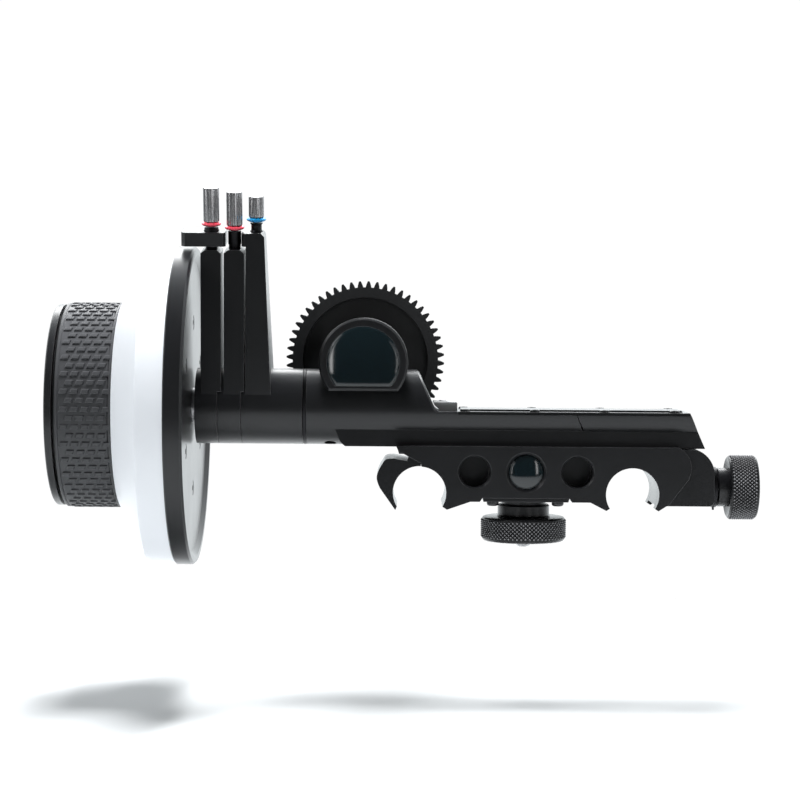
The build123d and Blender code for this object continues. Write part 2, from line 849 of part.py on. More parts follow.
with BuildPart() as housing:
    # round bar along the wheel axis, milled flat behind the shoulder
    with BuildSketch(Plane.YZ.offset(joint_right_x)):
        with Locations((0, wheel_z)):
            Circle(tube_r)
    extrude(amount=seam_x + 4 - joint_right_x)
    with BuildSketch(front(tube_r + 1)):
        with BuildLine():
            FilletPolyline(
                (shoulder_x, wheel_z + tube_r + 3),
                (shoulder_x + (tube_r + flat_drop + 3) * slope_run, flat_z),
                (seam_x + 12, flat_z),
                (seam_x + 12, wheel_z + tube_r + 3),
                radius=shoulder_fillet,
                close=True,
            )
        make_face()
    extrude(amount=2 * (tube_r + 1), mode=Mode.SUBTRACT)
    chamfer(housing.edges(Select.LAST), shoulder_bevel)
    # right end of the round bar: the slanted seam with the end cover
    with BuildSketch(front(tube_r + 1)):
        with BuildLine():
            Polyline(
                (seam_x, flat_z + 1),
                (seam_x + (flat_z + 1 - foot_low_z) * slope_run, foot_low_z - 1),
                (seam_x + 20, foot_low_z - 1),
                (seam_x + 20, flat_z + 1),
                close=True,
            )
        make_face()
    extrude(amount=2 * (tube_r + 1), mode=Mode.SUBTRACT)
    # foot that slides on the bridge
    with BuildSketch(front(foot_half_depth)):
        with BuildLine():
            Polyline(
                (foot_left_x, foot_top_z),
                (foot_left_x + foot_end_run, foot_low_z + foot_bevel_h),
                (foot_left_x + foot_end_run + foot_bevel_w, foot_low_z),
                (foot_right_x + foot_run, foot_low_z),
                (foot_right_x, foot_top_z),
                close=True,
            )
        make_face()
    extrude(amount=2 * foot_half_depth)
    # gear case: boss on the gear axis, with the flat under its front
    with BuildSketch(front(case_rear_y)):
        with Locations((gear_x, gear_z)):
            Circle(boss_r)
        with Locations((gear_x, wheel_z)):
            Circle(case_r)
    extrude(amount=case_rear_y)
    with BuildSketch(front(case_rear_y)):
        with Locations((gear_x, gear_z)):
            Circle(boss_r)
        with Locations((gear_x, gear_z - boss_flat - cut_size / 2)):
            Rectangle(cut_size, cut_size, mode=Mode.SUBTRACT)
    extrude(amount=case_rear_y - boss_front_y)
    # bevel round the boss's front, then the seat of the lens
    chamfer(housing.faces().sort_by(Axis.Y)[0].edges(), 0.6)
    with BuildSketch(front(boss_front_y)):
        with Locations((gear_x, gear_z)):
            Circle(lens_r + seat_gap)
        with Locations((gear_x, gear_z - lens_flat - seat_gap - cut_size / 2)):
            Rectangle(cut_size, cut_size, mode=Mode.SUBTRACT)
    extrude(amount=-lens_rim_depth, mode=Mode.SUBTRACT)
    # bore along the wheel axis: spigot seat, bearing seat, gear room
    for start, end, radius in (
        (joint_right_x - 1, bore_step_x, spigot_r + seat_gap),
        (bore_step_x - 1, bore_step_x + bearing_w + 0.2, bearing_r + seat_gap),
        (bore_step_x, gear_x + 5.5, 5.6),
    ):
        with BuildSketch(Plane.YZ.offset(start)):
            with Locations((0, wheel_z)):
                Circle(radius)
        extrude(amount=end - start, mode=Mode.SUBTRACT)
    # bores across it: front bush, mitre gear, then the two spur gears
    for start, end, radius in (
        (cross_front_y - 0.1, 0, bush_r + seat_gap),
        (-mitre_r - 1.6, 0, 5.4),
        (0, spur_y, 5.4),
        (spur_y - 0.3, case_rear_y, spur_room_r),
    ):
        with BuildSketch(front(end)):
            with Locations((gear_x, wheel_z)):
                Circle(radius)
        extrude(amount=end - start, mode=Mode.SUBTRACT)
    for start, end, radius in (
        (drive_bore_front_y, spur_y, drive_bearing_r + seat_gap),
        (spur_y - 0.3, case_rear_y, spur_room_r),
    ):
        with BuildSketch(front(end)):
            with Locations((gear_x, gear_z)):
                Circle(radius)
        extrude(amount=end - start, mode=Mode.SUBTRACT)
    # the rear of the bar and foot is cut back to the case's rear face
    with BuildSketch(front(tube_r + 1)):
        with Locations((gear_x, gear_z)):
            Circle(boss_r + seat_gap)
        with Locations((gear_x, wheel_z)):
            Circle(case_r + seat_gap)
    extrude(amount=tube_r + 1 - case_rear_y, mode=Mode.SUBTRACT)
    # slot of the lock shoe along the foot
    with BuildSketch(Plane.XY.offset(foot_low_z)):
        Rectangle(2 * slot_half_length, 2 * (shoe_neck_y + 0.15))
    extrude(amount=foot_top_z - foot_low_z, mode=Mode.SUBTRACT)
    with BuildSketch(Plane.XY.offset(slot_ledge_z)):
        Rectangle(2 * slot_half_length, 2 * (shoe_flange_y + 0.15))
    extrude(amount=foot_top_z - slot_ledge_z, mode=Mode.SUBTRACT)
    # bed of the top plate
    with BuildSketch(front(tube_r)):
        with BuildLine():
            Polyline(
                (plate_left_x, flat_z + 0.1),
                (plate_left_x, flat_z - plate_t),
                (seam_x + 10, flat_z - plate_t),
                (seam_x + 10, flat_z + 0.1),
                close=True,
            )
        make_face()
    extrude(amount=2 * tube_r, mode=Mode.SUBTRACT)
    # holes of the top screws, the stop block's screw, the case screws and the set screw
    with BuildSketch(Plane.XY.offset(flat_z)):
        with Locations(*top_screw_places):
            Circle(top_screw_r + seat_gap)
        with Locations((stop_block_x + stop_block_w / 2, 0)):
            Circle(block_screw_r + seat_gap)
    extrude(amount=-top_screw_length, mode=Mode.SUBTRACT)
    with BuildSketch(front(case_rear_y)):
        with Locations(*case_screw_places):
            Circle(case_screw_r + seat_gap)
    extrude(amount=4.0, mode=Mode.SUBTRACT)
    with BuildSketch(set_screw_plane.offset(tube_r + 1)):
        Circle(set_screw_r + seat_gap)
    extrude(amount=-5.0, mode=Mode.SUBTRACT)
write(housing, "housing")

with BuildPart() as end_cover:
    with BuildSketch(Plane.YZ.offset(seam_x - 2)):
        with Locations((0, wheel_z)):
            Circle(tube_r)
    extrude(amount=foot_right_x + 4 - seam_x)
    with BuildSketch(front(tube_r + 1)):
        with BuildLine():
            Polyline(
                (seam_x + seam_gap + (1 + plate_t) * slope_run, flat_z - plate_t),
                (end_x_at_flat + plate_t * slope_run, flat_z - plate_t),
                (foot_right_x, foot_top_z),
                (seam_x + seam_gap + (flat_z + 1 - foot_top_z) * slope_run, foot_top_z),
                close=True,
            )
        make_face()
    extrude(amount=2 * (tube_r + 1), mode=Mode.INTERSECT)
    # hollow over the slot of the lock shoe
    with BuildSketch(Plane.XY.offset(foot_top_z)):
        with Locations(((seam_x + foot_right_x) / 2 + 1.5, 0)):
            Rectangle(foot_right_x - seam_x - 10, 2 * shoe_flange_y)
    extrude(amount=cover_hollow, mode=Mode.SUBTRACT)
    with BuildSketch(Plane.XY.offset(flat_z)):
        with Locations(*top_screw_places[4:]):
            Circle(top_screw_r + seat_gap)
    extrude(amount=foot_top_z - flat_z - 1, mode=Mode.SUBTRACT)
write(end_cover, "end_cover")

with BuildPart() as top_plate:
    with BuildSketch(front(plate_half_depth)):
        with BuildLine():
            Polyline(
                (plate_left_x, flat_z - plate_t),
                (end_x_at_flat + plate_t * slope_run, flat_z - plate_t),
                (end_x_at_flat, flat_z),
                (plate_left_x, flat_z),
                close=True,
            )
        make_face()
    extrude(amount=2 * plate_half_depth)
    with BuildSketch(front(plate_rib_y)):
        with BuildLine():
            Polyline(
                (plate_left_x + 0.8, flat_z),
                (end_x_at_flat - 1.6, flat_z),
                (end_x_at_flat - 1.9, flat_z + plate_rib_h),
                (plate_left_x + 1.1, flat_z + plate_rib_h),
                close=True,
            )
        make_face()
    extrude(amount=2 * plate_rib_y)
    with BuildSketch(Plane.XY.offset(flat_z)):
        with Locations(*top_screw_places):
            Circle(top_screw_r + seat_gap)
    extrude(amount=-plate_t, mode=Mode.SUBTRACT)
write(top_plate, "top_plate")

with BuildPart() as top_screws:
    with BuildSketch(Plane.XY.offset(flat_z)):
        with Locations(*top_screw_places):
            Circle(top_screw_head_r)
    extrude(amount=top_screw_head_h)
    chamfer(top_screws.faces().group_by(Axis.Z)[-1].edges(), 0.2)
    with BuildSketch(Plane.XY.offset(flat_z)):
        with Locations(*top_screw_places):
            Circle(top_screw_r)
    extrude(amount=-top_screw_length + 0.2)
    with BuildSketch(Plane.XY.offset(flat_z + top_screw_head_h)):
        with Locations(*top_screw_places):
            RegularPolygon(0.65, 6)
    extrude(amount=-0.5, mode=Mode.SUBTRACT)
write(top_screws, "top_screws")

block_middle_x = stop_block_x + stop_block_w / 2
block_top_z = flat_z + stop_block_h
with BuildPart() as stop_block:
    with BuildSketch(front(stop_block_half_depth)):
        with BuildLine():
            Polyline(
                (stop_block_x, block_top_z),
                (stop_block_x + 0.6, block_top_z - 1.1),
                (stop_block_x + 2.4, flat_z),
                (stop_block_x + stop_block_w, flat_z),
                (stop_block_x + stop_block_w, block_top_z),
                close=True,
            )
        make_face()
    extrude(amount=2 * stop_block_half_depth)
    chamfer(stop_block.faces().sort_by(Axis.Z)[-1].edges(), 0.3)
    with Locations(Plane.XY.offset(block_top_z)):
        with Locations((block_middle_x, 0)):
            CounterBoreHole(block_screw_r + seat_gap, 1.9, 1.0, stop_block_h)
write(stop_block, "stop_block")

with BuildPart() as stop_block_screw:
    with Locations((block_middle_x, 0, block_top_z - 1.0)):
        Cylinder(1.7, 1.3, align=(Align.CENTER, Align.CENTER, Align.MIN))
        Cylinder(
            block_screw_r,
            block_screw_length,
            align=(Align.CENTER, Align.CENTER, Align.MAX),
        )
    fillet(stop_block_screw.faces().sort_by(Axis.Z)[-1].edges(), 0.4)
    with BuildSketch(Plane.XY.offset(block_top_z + 0.3)):
        with Locations((block_middle_x, 0)):
            RegularPolygon(0.8, 6)
    extrude(amount=-0.8, mode=Mode.SUBTRACT)
write(stop_block_screw, "stop_block_screw")

with BuildPart() as boss_lens:
    with BuildSketch(front(boss_front_y + lens_rim_depth)):
        with Locations((gear_x, gear_z)):
            Circle(lens_r)
        with Locations((gear_x, gear_z - lens_flat - cut_size / 2)):
            Rectangle(cut_size, cut_size, mode=Mode.SUBTRACT)
    extrude(amount=lens_rim_depth + lens_crown)
    # crown of the lens: a shallow sphere whose edge meets the rim
    with Locations((gear_x, boss_front_y - lens_crown + lens_sphere_r, gear_z)):
        Sphere(lens_sphere_r, mode=Mode.INTERSECT)
write(boss_lens, "boss_lens")

with BuildPart() as set_screw:
    with BuildSketch(set_screw_plane.offset(bearing_r + seat_gap)):
        Circle(set_screw_r)
    extrude(amount=set_screw_length)
    with BuildSketch(set_screw_plane.offset(bearing_r + seat_gap + set_screw_length)):
        RegularPolygon(0.85, 6)
    extrude(amount=-1.2, mode=Mode.SUBTRACT)
write(set_screw, "set_screw")

# ================================================================ rear cover of the gear case
cover_seat_y = case_rear_y + bearing_w + 0.1
with BuildPart() as case_cover:
    with BuildSketch(front(case_outer_y)):
        with Locations((gear_x, gear_z)):
            Circle(boss_r)
        with Locations((gear_x, wheel_z)):
            Circle(case_r)
    extrude(amount=case_cover_t)
    chamfer(case_cover.faces().sort_by(Axis.Y)[-1].edges(), 0.5)
    with BuildSketch(front(cover_seat_y)):
        with Locations((gear_x, gear_z)):
            Circle(drive_bearing_r + seat_gap)
        with Locations((gear_x, wheel_z)):
            Circle(bush_r + seat_gap)
    extrude(amount=cover_seat_y - case_rear_y, mode=Mode.SUBTRACT)
    with BuildSketch(front(case_outer_y)):
        with Locations((gear_x, gear_z)):
            Circle(drive_shaft_r + 0.6)
        with Locations(*case_screw_places):
            Circle(case_screw_r + seat_gap)
    extrude(amount=case_cover_t, mode=Mode.SUBTRACT)
    with BuildSketch(front(case_outer_y)):
        with Locations(*case_screw_places):
            Circle(case_screw_head_r + seat_gap)
    extrude(amount=case_screw_head_h + 0.1, mode=Mode.SUBTRACT)
write(case_cover, "case_cover")

with BuildPart() as case_screws:
    with BuildSketch(front(case_outer_y - 0.1)):
        with Locations(*case_screw_places):
            Circle(case_screw_head_r)
    extrude(amount=case_screw_head_h)
    with BuildSketch(front(case_outer_y - 0.1)):
        with Locations(*case_screw_places):
            Circle(case_screw_r)
    extrude(amount=case_cover_t + 3.6)
    with BuildSketch(front(case_outer_y - 0.1)):
        with Locations(*case_screw_places):
            RegularPolygon(0.6, 6)
    extrude(amount=0.6, mode=Mode.SUBTRACT)
write(case_screws, "case_screws")

# ================================================================ bearings and bushes
left_bearing_x = sleeve_left_x + 0.5
right_bearing_x = bore_step_x + 0.1
with BuildPart() as shaft_bearings:
    for start in (left_bearing_x, right_bearing_x):
        bearing = ring_points(start, start + bearing_w, shaft_r + run_gap, bearing_r)
        turned(wheel_plane, bearing, wheel_axis)
        for side in (start, start + bearing_w - 0.3):
            turned(wheel_plane, ring_points(side, side + 0.3, 5.0, 6.0), wheel_axis)
write(shaft_bearings, "shaft_bearings")

front_bearing_y = drive_bore_front_y + 0.1
rear_bearing_y = case_rear_y
with BuildPart() as drive_bearings:
    for start in (front_bearing_y, rear_bearing_y):
        bearing = ring_points(start, start + bearing_w, drive_shaft_r + run_gap, drive_bearing_r)
        turned(gear_plane, bearing, gear_axis)
write(drive_bearings, "drive_bearings")

with BuildPart() as cross_bushes:
    for start, end in ((cross_front_y, cross_front_y + 3.0), (case_rear_y + 0.1, cover_seat_y)):
        turned(cross_plane, ring_points(start, end, cross_shaft_r + run_gap, bush_r), cross_axis)
write(cross_bushes, "cross_bushes")

# ================================================================ stop tube with its fixed post
post_right_x = post_left_x + post_top_w
with BuildPart() as stop_tube:
    with BuildSketch(arm_side(head_left_x)):
        with BuildLine():
            Polyline(
                (-arm_root_half_depth, arm_root_r),
                (arm_root_half_depth, arm_root_r),
                (arm_top_half_depth, post_top_r),
                (-arm_top_half_depth, post_top_r),
                close=True,
            )
        make_face()
    extrude(amount=post_root_w + 3)
    with BuildSketch(arm_plane.offset(2 * tube_r)):
        with BuildLine():
            Polyline(
                (post_left_x - post_root_run, 2),
                (post_left_x - post_root_run + post_root_w, 2),
                (post_right_x, post_top_r - arm_edge_h),
                (post_right_x - arm_edge_h, post_top_r),
                (head_left_x, post_top_r),
                (head_left_x, post_top_r - head_height),
                (post_left_x, post_top_r - head_height),
                close=True,
            )
        make_face()
    extrude(amount=-4 * tube_r, mode=Mode.INTERSECT)
    # bevel down the left edges of the head, front and rear
    head_left = stop_tube.faces().sort_by(Axis.X)[0]
    chamfer(head_left.edges().sort_by(Axis.Y)[0], head_bevel)
    turned(
        wheel_plane,
        [
            (sleeve_left_x, 2),
            (sleeve_left_x, sleeve_r),
            (post_ring_x, sleeve_r),
            (post_ring_x, tube_r),
            (tube_joint_x - joint_bevel, tube_r),
            (tube_joint_x, tube_r - joint_bevel),
            (tube_joint_x, spigot_r),
            (bore_step_x - 0.1, spigot_r),
            (bore_step_x - 0.1, 2),
        ],
        wheel_axis,
    )
    for start, end, radius in (
        (sleeve_left_x - 1, bore_step_x + 1, tube_bore_r),
        (sleeve_left_x - 1, left_bearing_x + bearing_w + 0.1, bearing_r + seat_gap),
    ):
        with BuildSketch(Plane.YZ.offset(start)):
            with Locations((0, wheel_z)):
                Circle(radius)
        extrude(amount=end - start, mode=Mode.SUBTRACT)
    # bore of the pin's spring, and the pin's rod below it
    with BuildSketch(arm_level(post_pin_x, post_top_r)):
        Circle(spring_bore_r)
    extrude(amount=spring_low_r - post_top_r, mode=Mode.SUBTRACT)
    with BuildSketch(arm_level(post_pin_x, post_top_r)):
        Circle(rod_pin_r + run_gap)
    extrude(amount=spring_low_r - post_top_r - 2.5, mode=Mode.SUBTRACT)
write(stop_tube, "stop_tube")

with BuildPart() as joint_ring:
    turned(
        wheel_plane,
        [
            (tube_joint_x, spigot_r + seat_gap),
            (tube_joint_x, tube_r - joint_bevel),
            (tube_joint_x + joint_bevel, tube_r),
            (joint_right_x - joint_bevel, tube_r),
            (joint_right_x, tube_r - joint_bevel),
            (joint_right_x, spigot_r + seat_gap),
        ],
        wheel_axis,
    )
write(joint_ring, "joint_ring")


def stop_arm(middle_x, ring_start, ring_end, wall_before, wall_after):
    """Add a stop arm: a ring on the sleeve and a tapered pillar that stands on it."""
    with BuildSketch(arm_side(middle_x - arm_w / 2)) as side:
        with BuildLine():
            Polyline(
                (-arm_root_half_depth, arm_root_r),
                (arm_root_half_depth, arm_root_r),
                (arm_top_half_depth, arm_top_r),
                (-arm_top_half_depth, arm_top_r),
                close=True,
            )
        make_face()
    extrude(side.sketch, amount=arm_w)
    with BuildSketch(arm_plane.offset(2 * tube_r)) as face:
        with BuildLine():
            Polyline(
                (middle_x - arm_w / 2, 0),
                (middle_x + arm_w / 2, 0),
                (middle_x + arm_w / 2, arm_top_r - arm_edge_h),
                (middle_x + arm_w / 2 - arm_edge_w, arm_top_r),
                (middle_x - arm_w / 2 + arm_edge_w, arm_top_r),
                (middle_x - arm_w / 2, arm_top_r - arm_edge_h),
                close=True,
            )
        make_face()
    extrude(face.sketch, amount=-4 * tube_r, mode=Mode.INTERSECT)
    # the pillar passes over the neighbouring rings with a clear gap
    for start, end in ((wall_before, ring_start), (ring_end, wall_after)):
        with BuildSketch(Plane.YZ.offset(start)) as clear:
            with Locations((0, wheel_z)):
                Circle(tube_r + air_gap)
        extrude(clear.sketch, amount=end - start, mode=Mode.SUBTRACT)
    turned(wheel_plane, ring_points(ring_start, ring_end, 5, tube_r), wheel_axis)
    with BuildSketch(Plane.YZ.offset(ring_start - 1)) as bore:
        with Locations((0, wheel_z)):
            Circle(sleeve_r + run_gap)
    extrude(bore.sketch, amount=ring_end - ring_start + 2, mode=Mode.SUBTRACT)
    # bore of the pin's spring, and the pin's rod below it
    with BuildSketch(arm_level(middle_x, arm_top_r)) as spring_bore:
        Circle(spring_bore_r)
    extrude(spring_bore.sketch, amount=spring_low_r - arm_top_r, mode=Mode.SUBTRACT)
    with BuildSketch(arm_level(middle_x, arm_top_r)) as rod_bore:
        Circle(rod_pin_r + run_gap)
    extrude(rod_bore.sketch, amount=sleeve_r - arm_top_r, mode=Mode.SUBTRACT)


with BuildPart() as arm_a:
    stop_arm(arm_a_x, ring_a_x, ring_b_x - ring_gap, ring_a_x - 4, ring_b_x + 4)
write(arm_a, "arm_a")

with BuildPart() as arm_b:
    stop_arm(arm_b_x, ring_b_x, post_ring_x - ring_gap, ring_b_x - 4, post_ring_x + 4)
write(arm_b, "arm_b")

with BuildPart() as pointer:
    with BuildSketch(arm_level(arm_a_x, pointer_low_r)):
        with BuildLine():
            Polyline(
                (pointer_left_x - arm_a_x, -arm_top_half_depth + pointer_bevel),
                (pointer_left_x - arm_a_x + pointer_bevel, -arm_top_half_depth),
                (pointer_right_x - arm_a_x - pointer_edge, -arm_top_half_depth),
                (pointer_right_x - arm_a_x, -arm_top_half_depth + pointer_edge),
                (pointer_right_x - arm_a_x, arm_top_half_depth),
                (pointer_left_x - arm_a_x, arm_top_half_depth),
                close=True,
            )
        make_face()
    extrude(amount=pointer_height)
    with BuildSketch(arm_level(arm_a_x, pointer_high_r)):
        Circle(stem_seat_r + seat_gap)
    extrude(amount=-pointer_height, mode=Mode.SUBTRACT)
write(pointer, "pointer")


def pin_plane(x):
    """Plane through a pin's axis at x: along the arm, then away from the pin's axis."""
    return Plane(origin=(x, 0, wheel_z), x_dir=(0, lean_y, lean_z), z_dir=(0, lean_z, -lean_y))


def pin_axis(x):
    """Axis of the pin at x, which leans with the arms."""
    return Axis((x, 0, wheel_z), (0, lean_y, lean_z))


def stem(x, seat, outline):
    """Add a stem: a bush seated in an arm's top, through which the pin's rod runs."""
    bore = rod_pin_r + run_gap
    root = [(seat - stem_depth, bore), (seat - stem_depth, stem_seat_r), (seat, stem_seat_r)]
    turned(pin_plane(x), root + outline + [(outline[-1][0], bore)], pin_axis(x))


stem_a_top = pin_a_low - o_ring_h - air_gap
with BuildPart() as stem_a:
    cap = [
        (pointer_high_r, stem_seat_r),
        (pointer_high_r, stem_cap_r),
        (stem_a_top, stem_cap_top_r),
    ]
    stem(arm_a_x, arm_top_r, cap)
write(stem_a, "stem_a")

stem_b_top = pin_b_low - o_ring_h - air_gap
with BuildPart() as stem_b:
    pillar = [
        (arm_top_r, stem_low_r),
        (arm_top_r + stem_step, stem_low_r),
        (arm_top_r + stem_step, stem_high_r),
        (stem_b_top, stem_high_r),
    ]
    stem(arm_b_x, arm_top_r, pillar)
write(stem_b, "stem_b")

stem_c_top = pin_c_low - o_ring_h - air_gap
with BuildPart() as stem_c:
    waist = [
        (post_top_r, stem_high_r),
        (post_top_r + stem_step / 2, stem_waist_r),
        (stem_c_top - stem_step / 2, stem_waist_r),
        (stem_c_top, stem_high_r),
    ]
    stem(post_pin_x, post_top_r, waist)
write(stem_c, "stem_c")


def pull_pin(x, tip, low, length, radius):
    """Add a pull pin: rod with a spring collar, neck for the ring, and the head."""
    high = low + length
    points = [
        (tip, 0),
        (tip, rod_pin_r),
        (spring_low_r + 0.1, rod_pin_r),
        (spring_low_r + 0.1, spring_collar_r),
        (spring_low_r + 1.0, spring_collar_r),
        (spring_low_r + 1.0, rod_pin_r),
        (low - o_ring_h, rod_pin_r),
        (low - o_ring_h, pin_neck_r),
        (low, pin_neck_r),
        (low, radius - pin_edge),
        (low + pin_edge, radius),
        (high - pin_edge, radius),
        (high, radius - pin_edge),
        (high, 0),
    ]
    turned(pin_plane(x), points, pin_axis(x))


with BuildPart() as pin_a:
    pull_pin(arm_a_x, sleeve_r + 0.1, pin_a_low, pin_a_length, knurl_r)
write(pin_a, "pin_a")

with BuildPart() as pin_b:
    pull_pin(arm_b_x, sleeve_r + 0.1, pin_b_low, pin_b_length, knurl_r)
write(pin_b, "pin_b")

with BuildPart() as pin_c:
    pull_pin(post_pin_x, spring_low_r - 2.3, pin_c_low, pin_c_length, post_knurl_r)
write(pin_c, "pin_c")


def o_ring(x, low):
    """Add a rubber ring round a pin's neck, just under the head."""
    with Locations(arm_level(x, low - o_ring_h / 2)):
        Torus(pin_neck_r + o_ring_r + seat_gap, o_ring_r)


with BuildPart() as o_ring_a:
    o_ring(arm_a_x, pin_a_low)
write(o_ring_a, "o_ring_a")

with BuildPart() as o_ring_b:
    o_ring(arm_b_x, pin_b_low)
write(o_ring_b, "o_ring_b")

with BuildPart() as o_ring_c:
    o_ring(post_pin_x, pin_c_low)
write(o_ring_c, "o_ring_c")


def pin_spring(x, top):
    """Add a coil spring between a pin's collar and the underside of its stem."""
    low = spring_low_r + 1.0 + spring_wire_r + 0.05
    high = top - stem_depth - spring_wire_r - 0.05
    with BuildLine() as coil:
        Helix(
            pitch=(high - low) / spring_turns,
            height=high - low,
            radius=spring_coil_r,
            center=arm_level(x, low).origin,
            direction=(0, lean_y, lean_z),
        )
    start = Plane(origin=coil.line @ 0, z_dir=coil.line % 0)
    with BuildSketch(start) as wire:
        RegularPolygon(spring_wire_r, 4)
    sweep(wire.sketch, path=coil.line, is_frenet=True)


with BuildPart() as pin_spring_a:
    pin_spring(arm_a_x, arm_top_r)
write(pin_spring_a, "pin_spring_a")

with BuildPart() as pin_spring_b:
    pin_spring(arm_b_x, arm_top_r)
write(pin_spring_b, "pin_spring_b")

with BuildPart() as pin_spring_c:
    pin_spring(post_pin_x, post_top_r)
write(pin_spring_c, "pin_spring_c")

# ================================================================ handwheel
shaft_left_x = wheel_left_x + socket_depth + 2.6
web_screw_r = drum_r - web_screw_inset
shaft_step_x = right_bearing_x + bearing_w + 0.1
web_right_x = sleeve_left_x - 1.1
web_left_x = web_right_x - web_t
mitre_back_x = gear_x - mitre_r

with BuildPart() as wheel_shaft:
    turned(
        wheel_plane,
        [
            (shaft_left_x, bolt_r + seat_gap),
            (shaft_left_x, shaft_r),
            (web_right_x, shaft_r),
            (web_right_x, shaft_r + 1.2),
            (left_bearing_x - 0.05, shaft_r + 1.2),
            (left_bearing_x - 0.05, shaft_r),
            (shaft_step_x, shaft_r),
            (shaft_step_x, mitre_bore_r - seat_gap),
            (mitre_back_x + 0.8, mitre_bore_r - seat_gap),
            (mitre_back_x + 0.8, 0),
            (shaft_left_x + bolt_depth, 0),
            (shaft_left_x + bolt_depth, bolt_r + seat_gap),
        ],
        wheel_axis,
    )
write(wheel_shaft, "wheel_shaft")

front_wall_x = wheel_left_x + face_plate_t
with BuildPart() as wheel_drum:
    turned(
        wheel_plane,
        [
            (front_wall_x, socket_boss_r + seat_gap),
            (front_wall_x, drum_r - 0.8),
            (grip_left_x, drum_r - 0.8),
            (grip_left_x, drum_r),
            (scale_left_x + scale_foot_w, drum_r),
            (scale_left_x + scale_foot_w, drum_r - 1.0),
            (web_left_x, drum_r - 1.0),
            (web_left_x, drum_r - 5.4),
            (front_wall_x + 3.6, drum_r - 5.4),
            (front_wall_x + 3.6, hub_r),
            (web_left_x, hub_r),
            (web_left_x, shaft_r + seat_gap),
            (shaft_left_x, shaft_r + seat_gap),
            (shaft_left_x, socket_boss_r + seat_gap),
        ],
        wheel_axis,
    )
    with BuildSketch(Plane.YZ.offset(front_wall_x)):
        with Locations((0, wheel_z)):
            with PolarLocations(face_screw_pcd / 2, 4, 45):
                Circle(screw_shank_r + seat_gap)
    extrude(amount=3.6, mode=Mode.SUBTRACT)
    with BuildSketch(Plane.YZ.offset(web_left_x)):
        with Locations((0, wheel_z)):
            with PolarLocations(web_screw_r, 6, 30):
                Circle(screw_shank_r + seat_gap)
    extrude(amount=-6.0, mode=Mode.SUBTRACT)
write(wheel_drum, "wheel_drum")

with BuildPart() as face_plate:
    turned(
        wheel_plane,
        [
            (wheel_left_x, 0),
            (wheel_left_x, face_plate_r - face_bevel),
            (wheel_left_x + face_bevel, face_plate_r),
            (front_wall_x, face_plate_r),
            (front_wall_x, socket_boss_r),
            (wheel_left_x + socket_depth + 0.6, socket_boss_r),
            (wheel_left_x + socket_depth + 0.6, 0),
        ],
        wheel_axis,
    )
    with BuildSketch(Plane.YZ.offset(wheel_left_x)):
        with Locations((0, wheel_z)):
            Rectangle(socket_square, socket_square)
    extrude(amount=socket_depth, mode=Mode.SUBTRACT)
    with BuildSketch(Plane.YZ.offset(wheel_left_x)):
        with Locations((0, wheel_z)):
            with PolarLocations(face_screw_pcd / 2, 4, 45):
                Circle(screw_head_r + seat_gap)
    extrude(amount=screw_head_h + 0.1, mode=Mode.SUBTRACT)
    with BuildSketch(Plane.YZ.offset(wheel_left_x)):
        with Locations((0, wheel_z)):
            with PolarLocations(face_screw_pcd / 2, 4, 45):
                Circle(screw_shank_r + seat_gap)
    extrude(amount=face_plate_t, mode=Mode.SUBTRACT)
write(face_plate, "face_plate")


def screw_ring(start, direction, pitch_r, count, first):
    """Add a circle of flat-headed screws on the wheel axis that point along direction."""
    for radius, depth, mode in (
        (screw_head_r, screw_head_h, Mode.ADD),
        (screw_shank_r, screw_length, Mode.ADD),
        (0.8, 0.7, Mode.SUBTRACT),
    ):
        with BuildSketch(Plane.YZ.offset(start)) as heads:
            with Locations((0, wheel_z)):
                with PolarLocations(pitch_r, count, first):
                    Circle(radius)
        extrude(heads.sketch, amount=direction * depth, mode=mode)


with BuildPart() as wheel_bolt:
    turned(
        wheel_plane,
        [
            (shaft_left_x - bolt_head_h, 1.6),
            (shaft_left_x - bolt_head_h, bolt_head_r),
            (shaft_left_x, bolt_head_r),
            (shaft_left_x, bolt_r),
            (shaft_left_x + bolt_depth - 0.4, bolt_r),
            (shaft_left_x + bolt_depth - 0.4, 0),
            (shaft_left_x, 0),
            (shaft_left_x, 1.6),
        ],
        wheel_axis,
    )
write(wheel_bolt, "wheel_bolt")

with BuildPart() as grip_sleeve:
    turned(
        wheel_plane,
        ring_points(grip_left_x, grip_right_x, drum_r + seat_gap, grip_r),
        wheel_axis,
    )
    fillet(grip_sleeve.edges().group_by(Axis.X)[0].sort_by(SortBy.RADIUS)[-1], 0.6)
write(grip_sleeve, "grip_sleeve")

with BuildPart() as marking_disc:
    turned(
        wheel_plane,
        [
            (scale_left_x, drum_r + seat_gap),
            (scale_left_x, grip_r + 0.1),
            (scale_corner_x, scale_r),
            (disc_left_x, scale_r),
            (disc_left_x, scale_r - scale_t),
            (scale_corner_x + 0.8, scale_r - scale_t),
            (scale_left_x + scale_foot_w, grip_r + 1.0),
            (scale_left_x + scale_foot_w, drum_r + seat_gap),
        ],
        wheel_axis,
    )
write(marking_disc, "marking_disc")

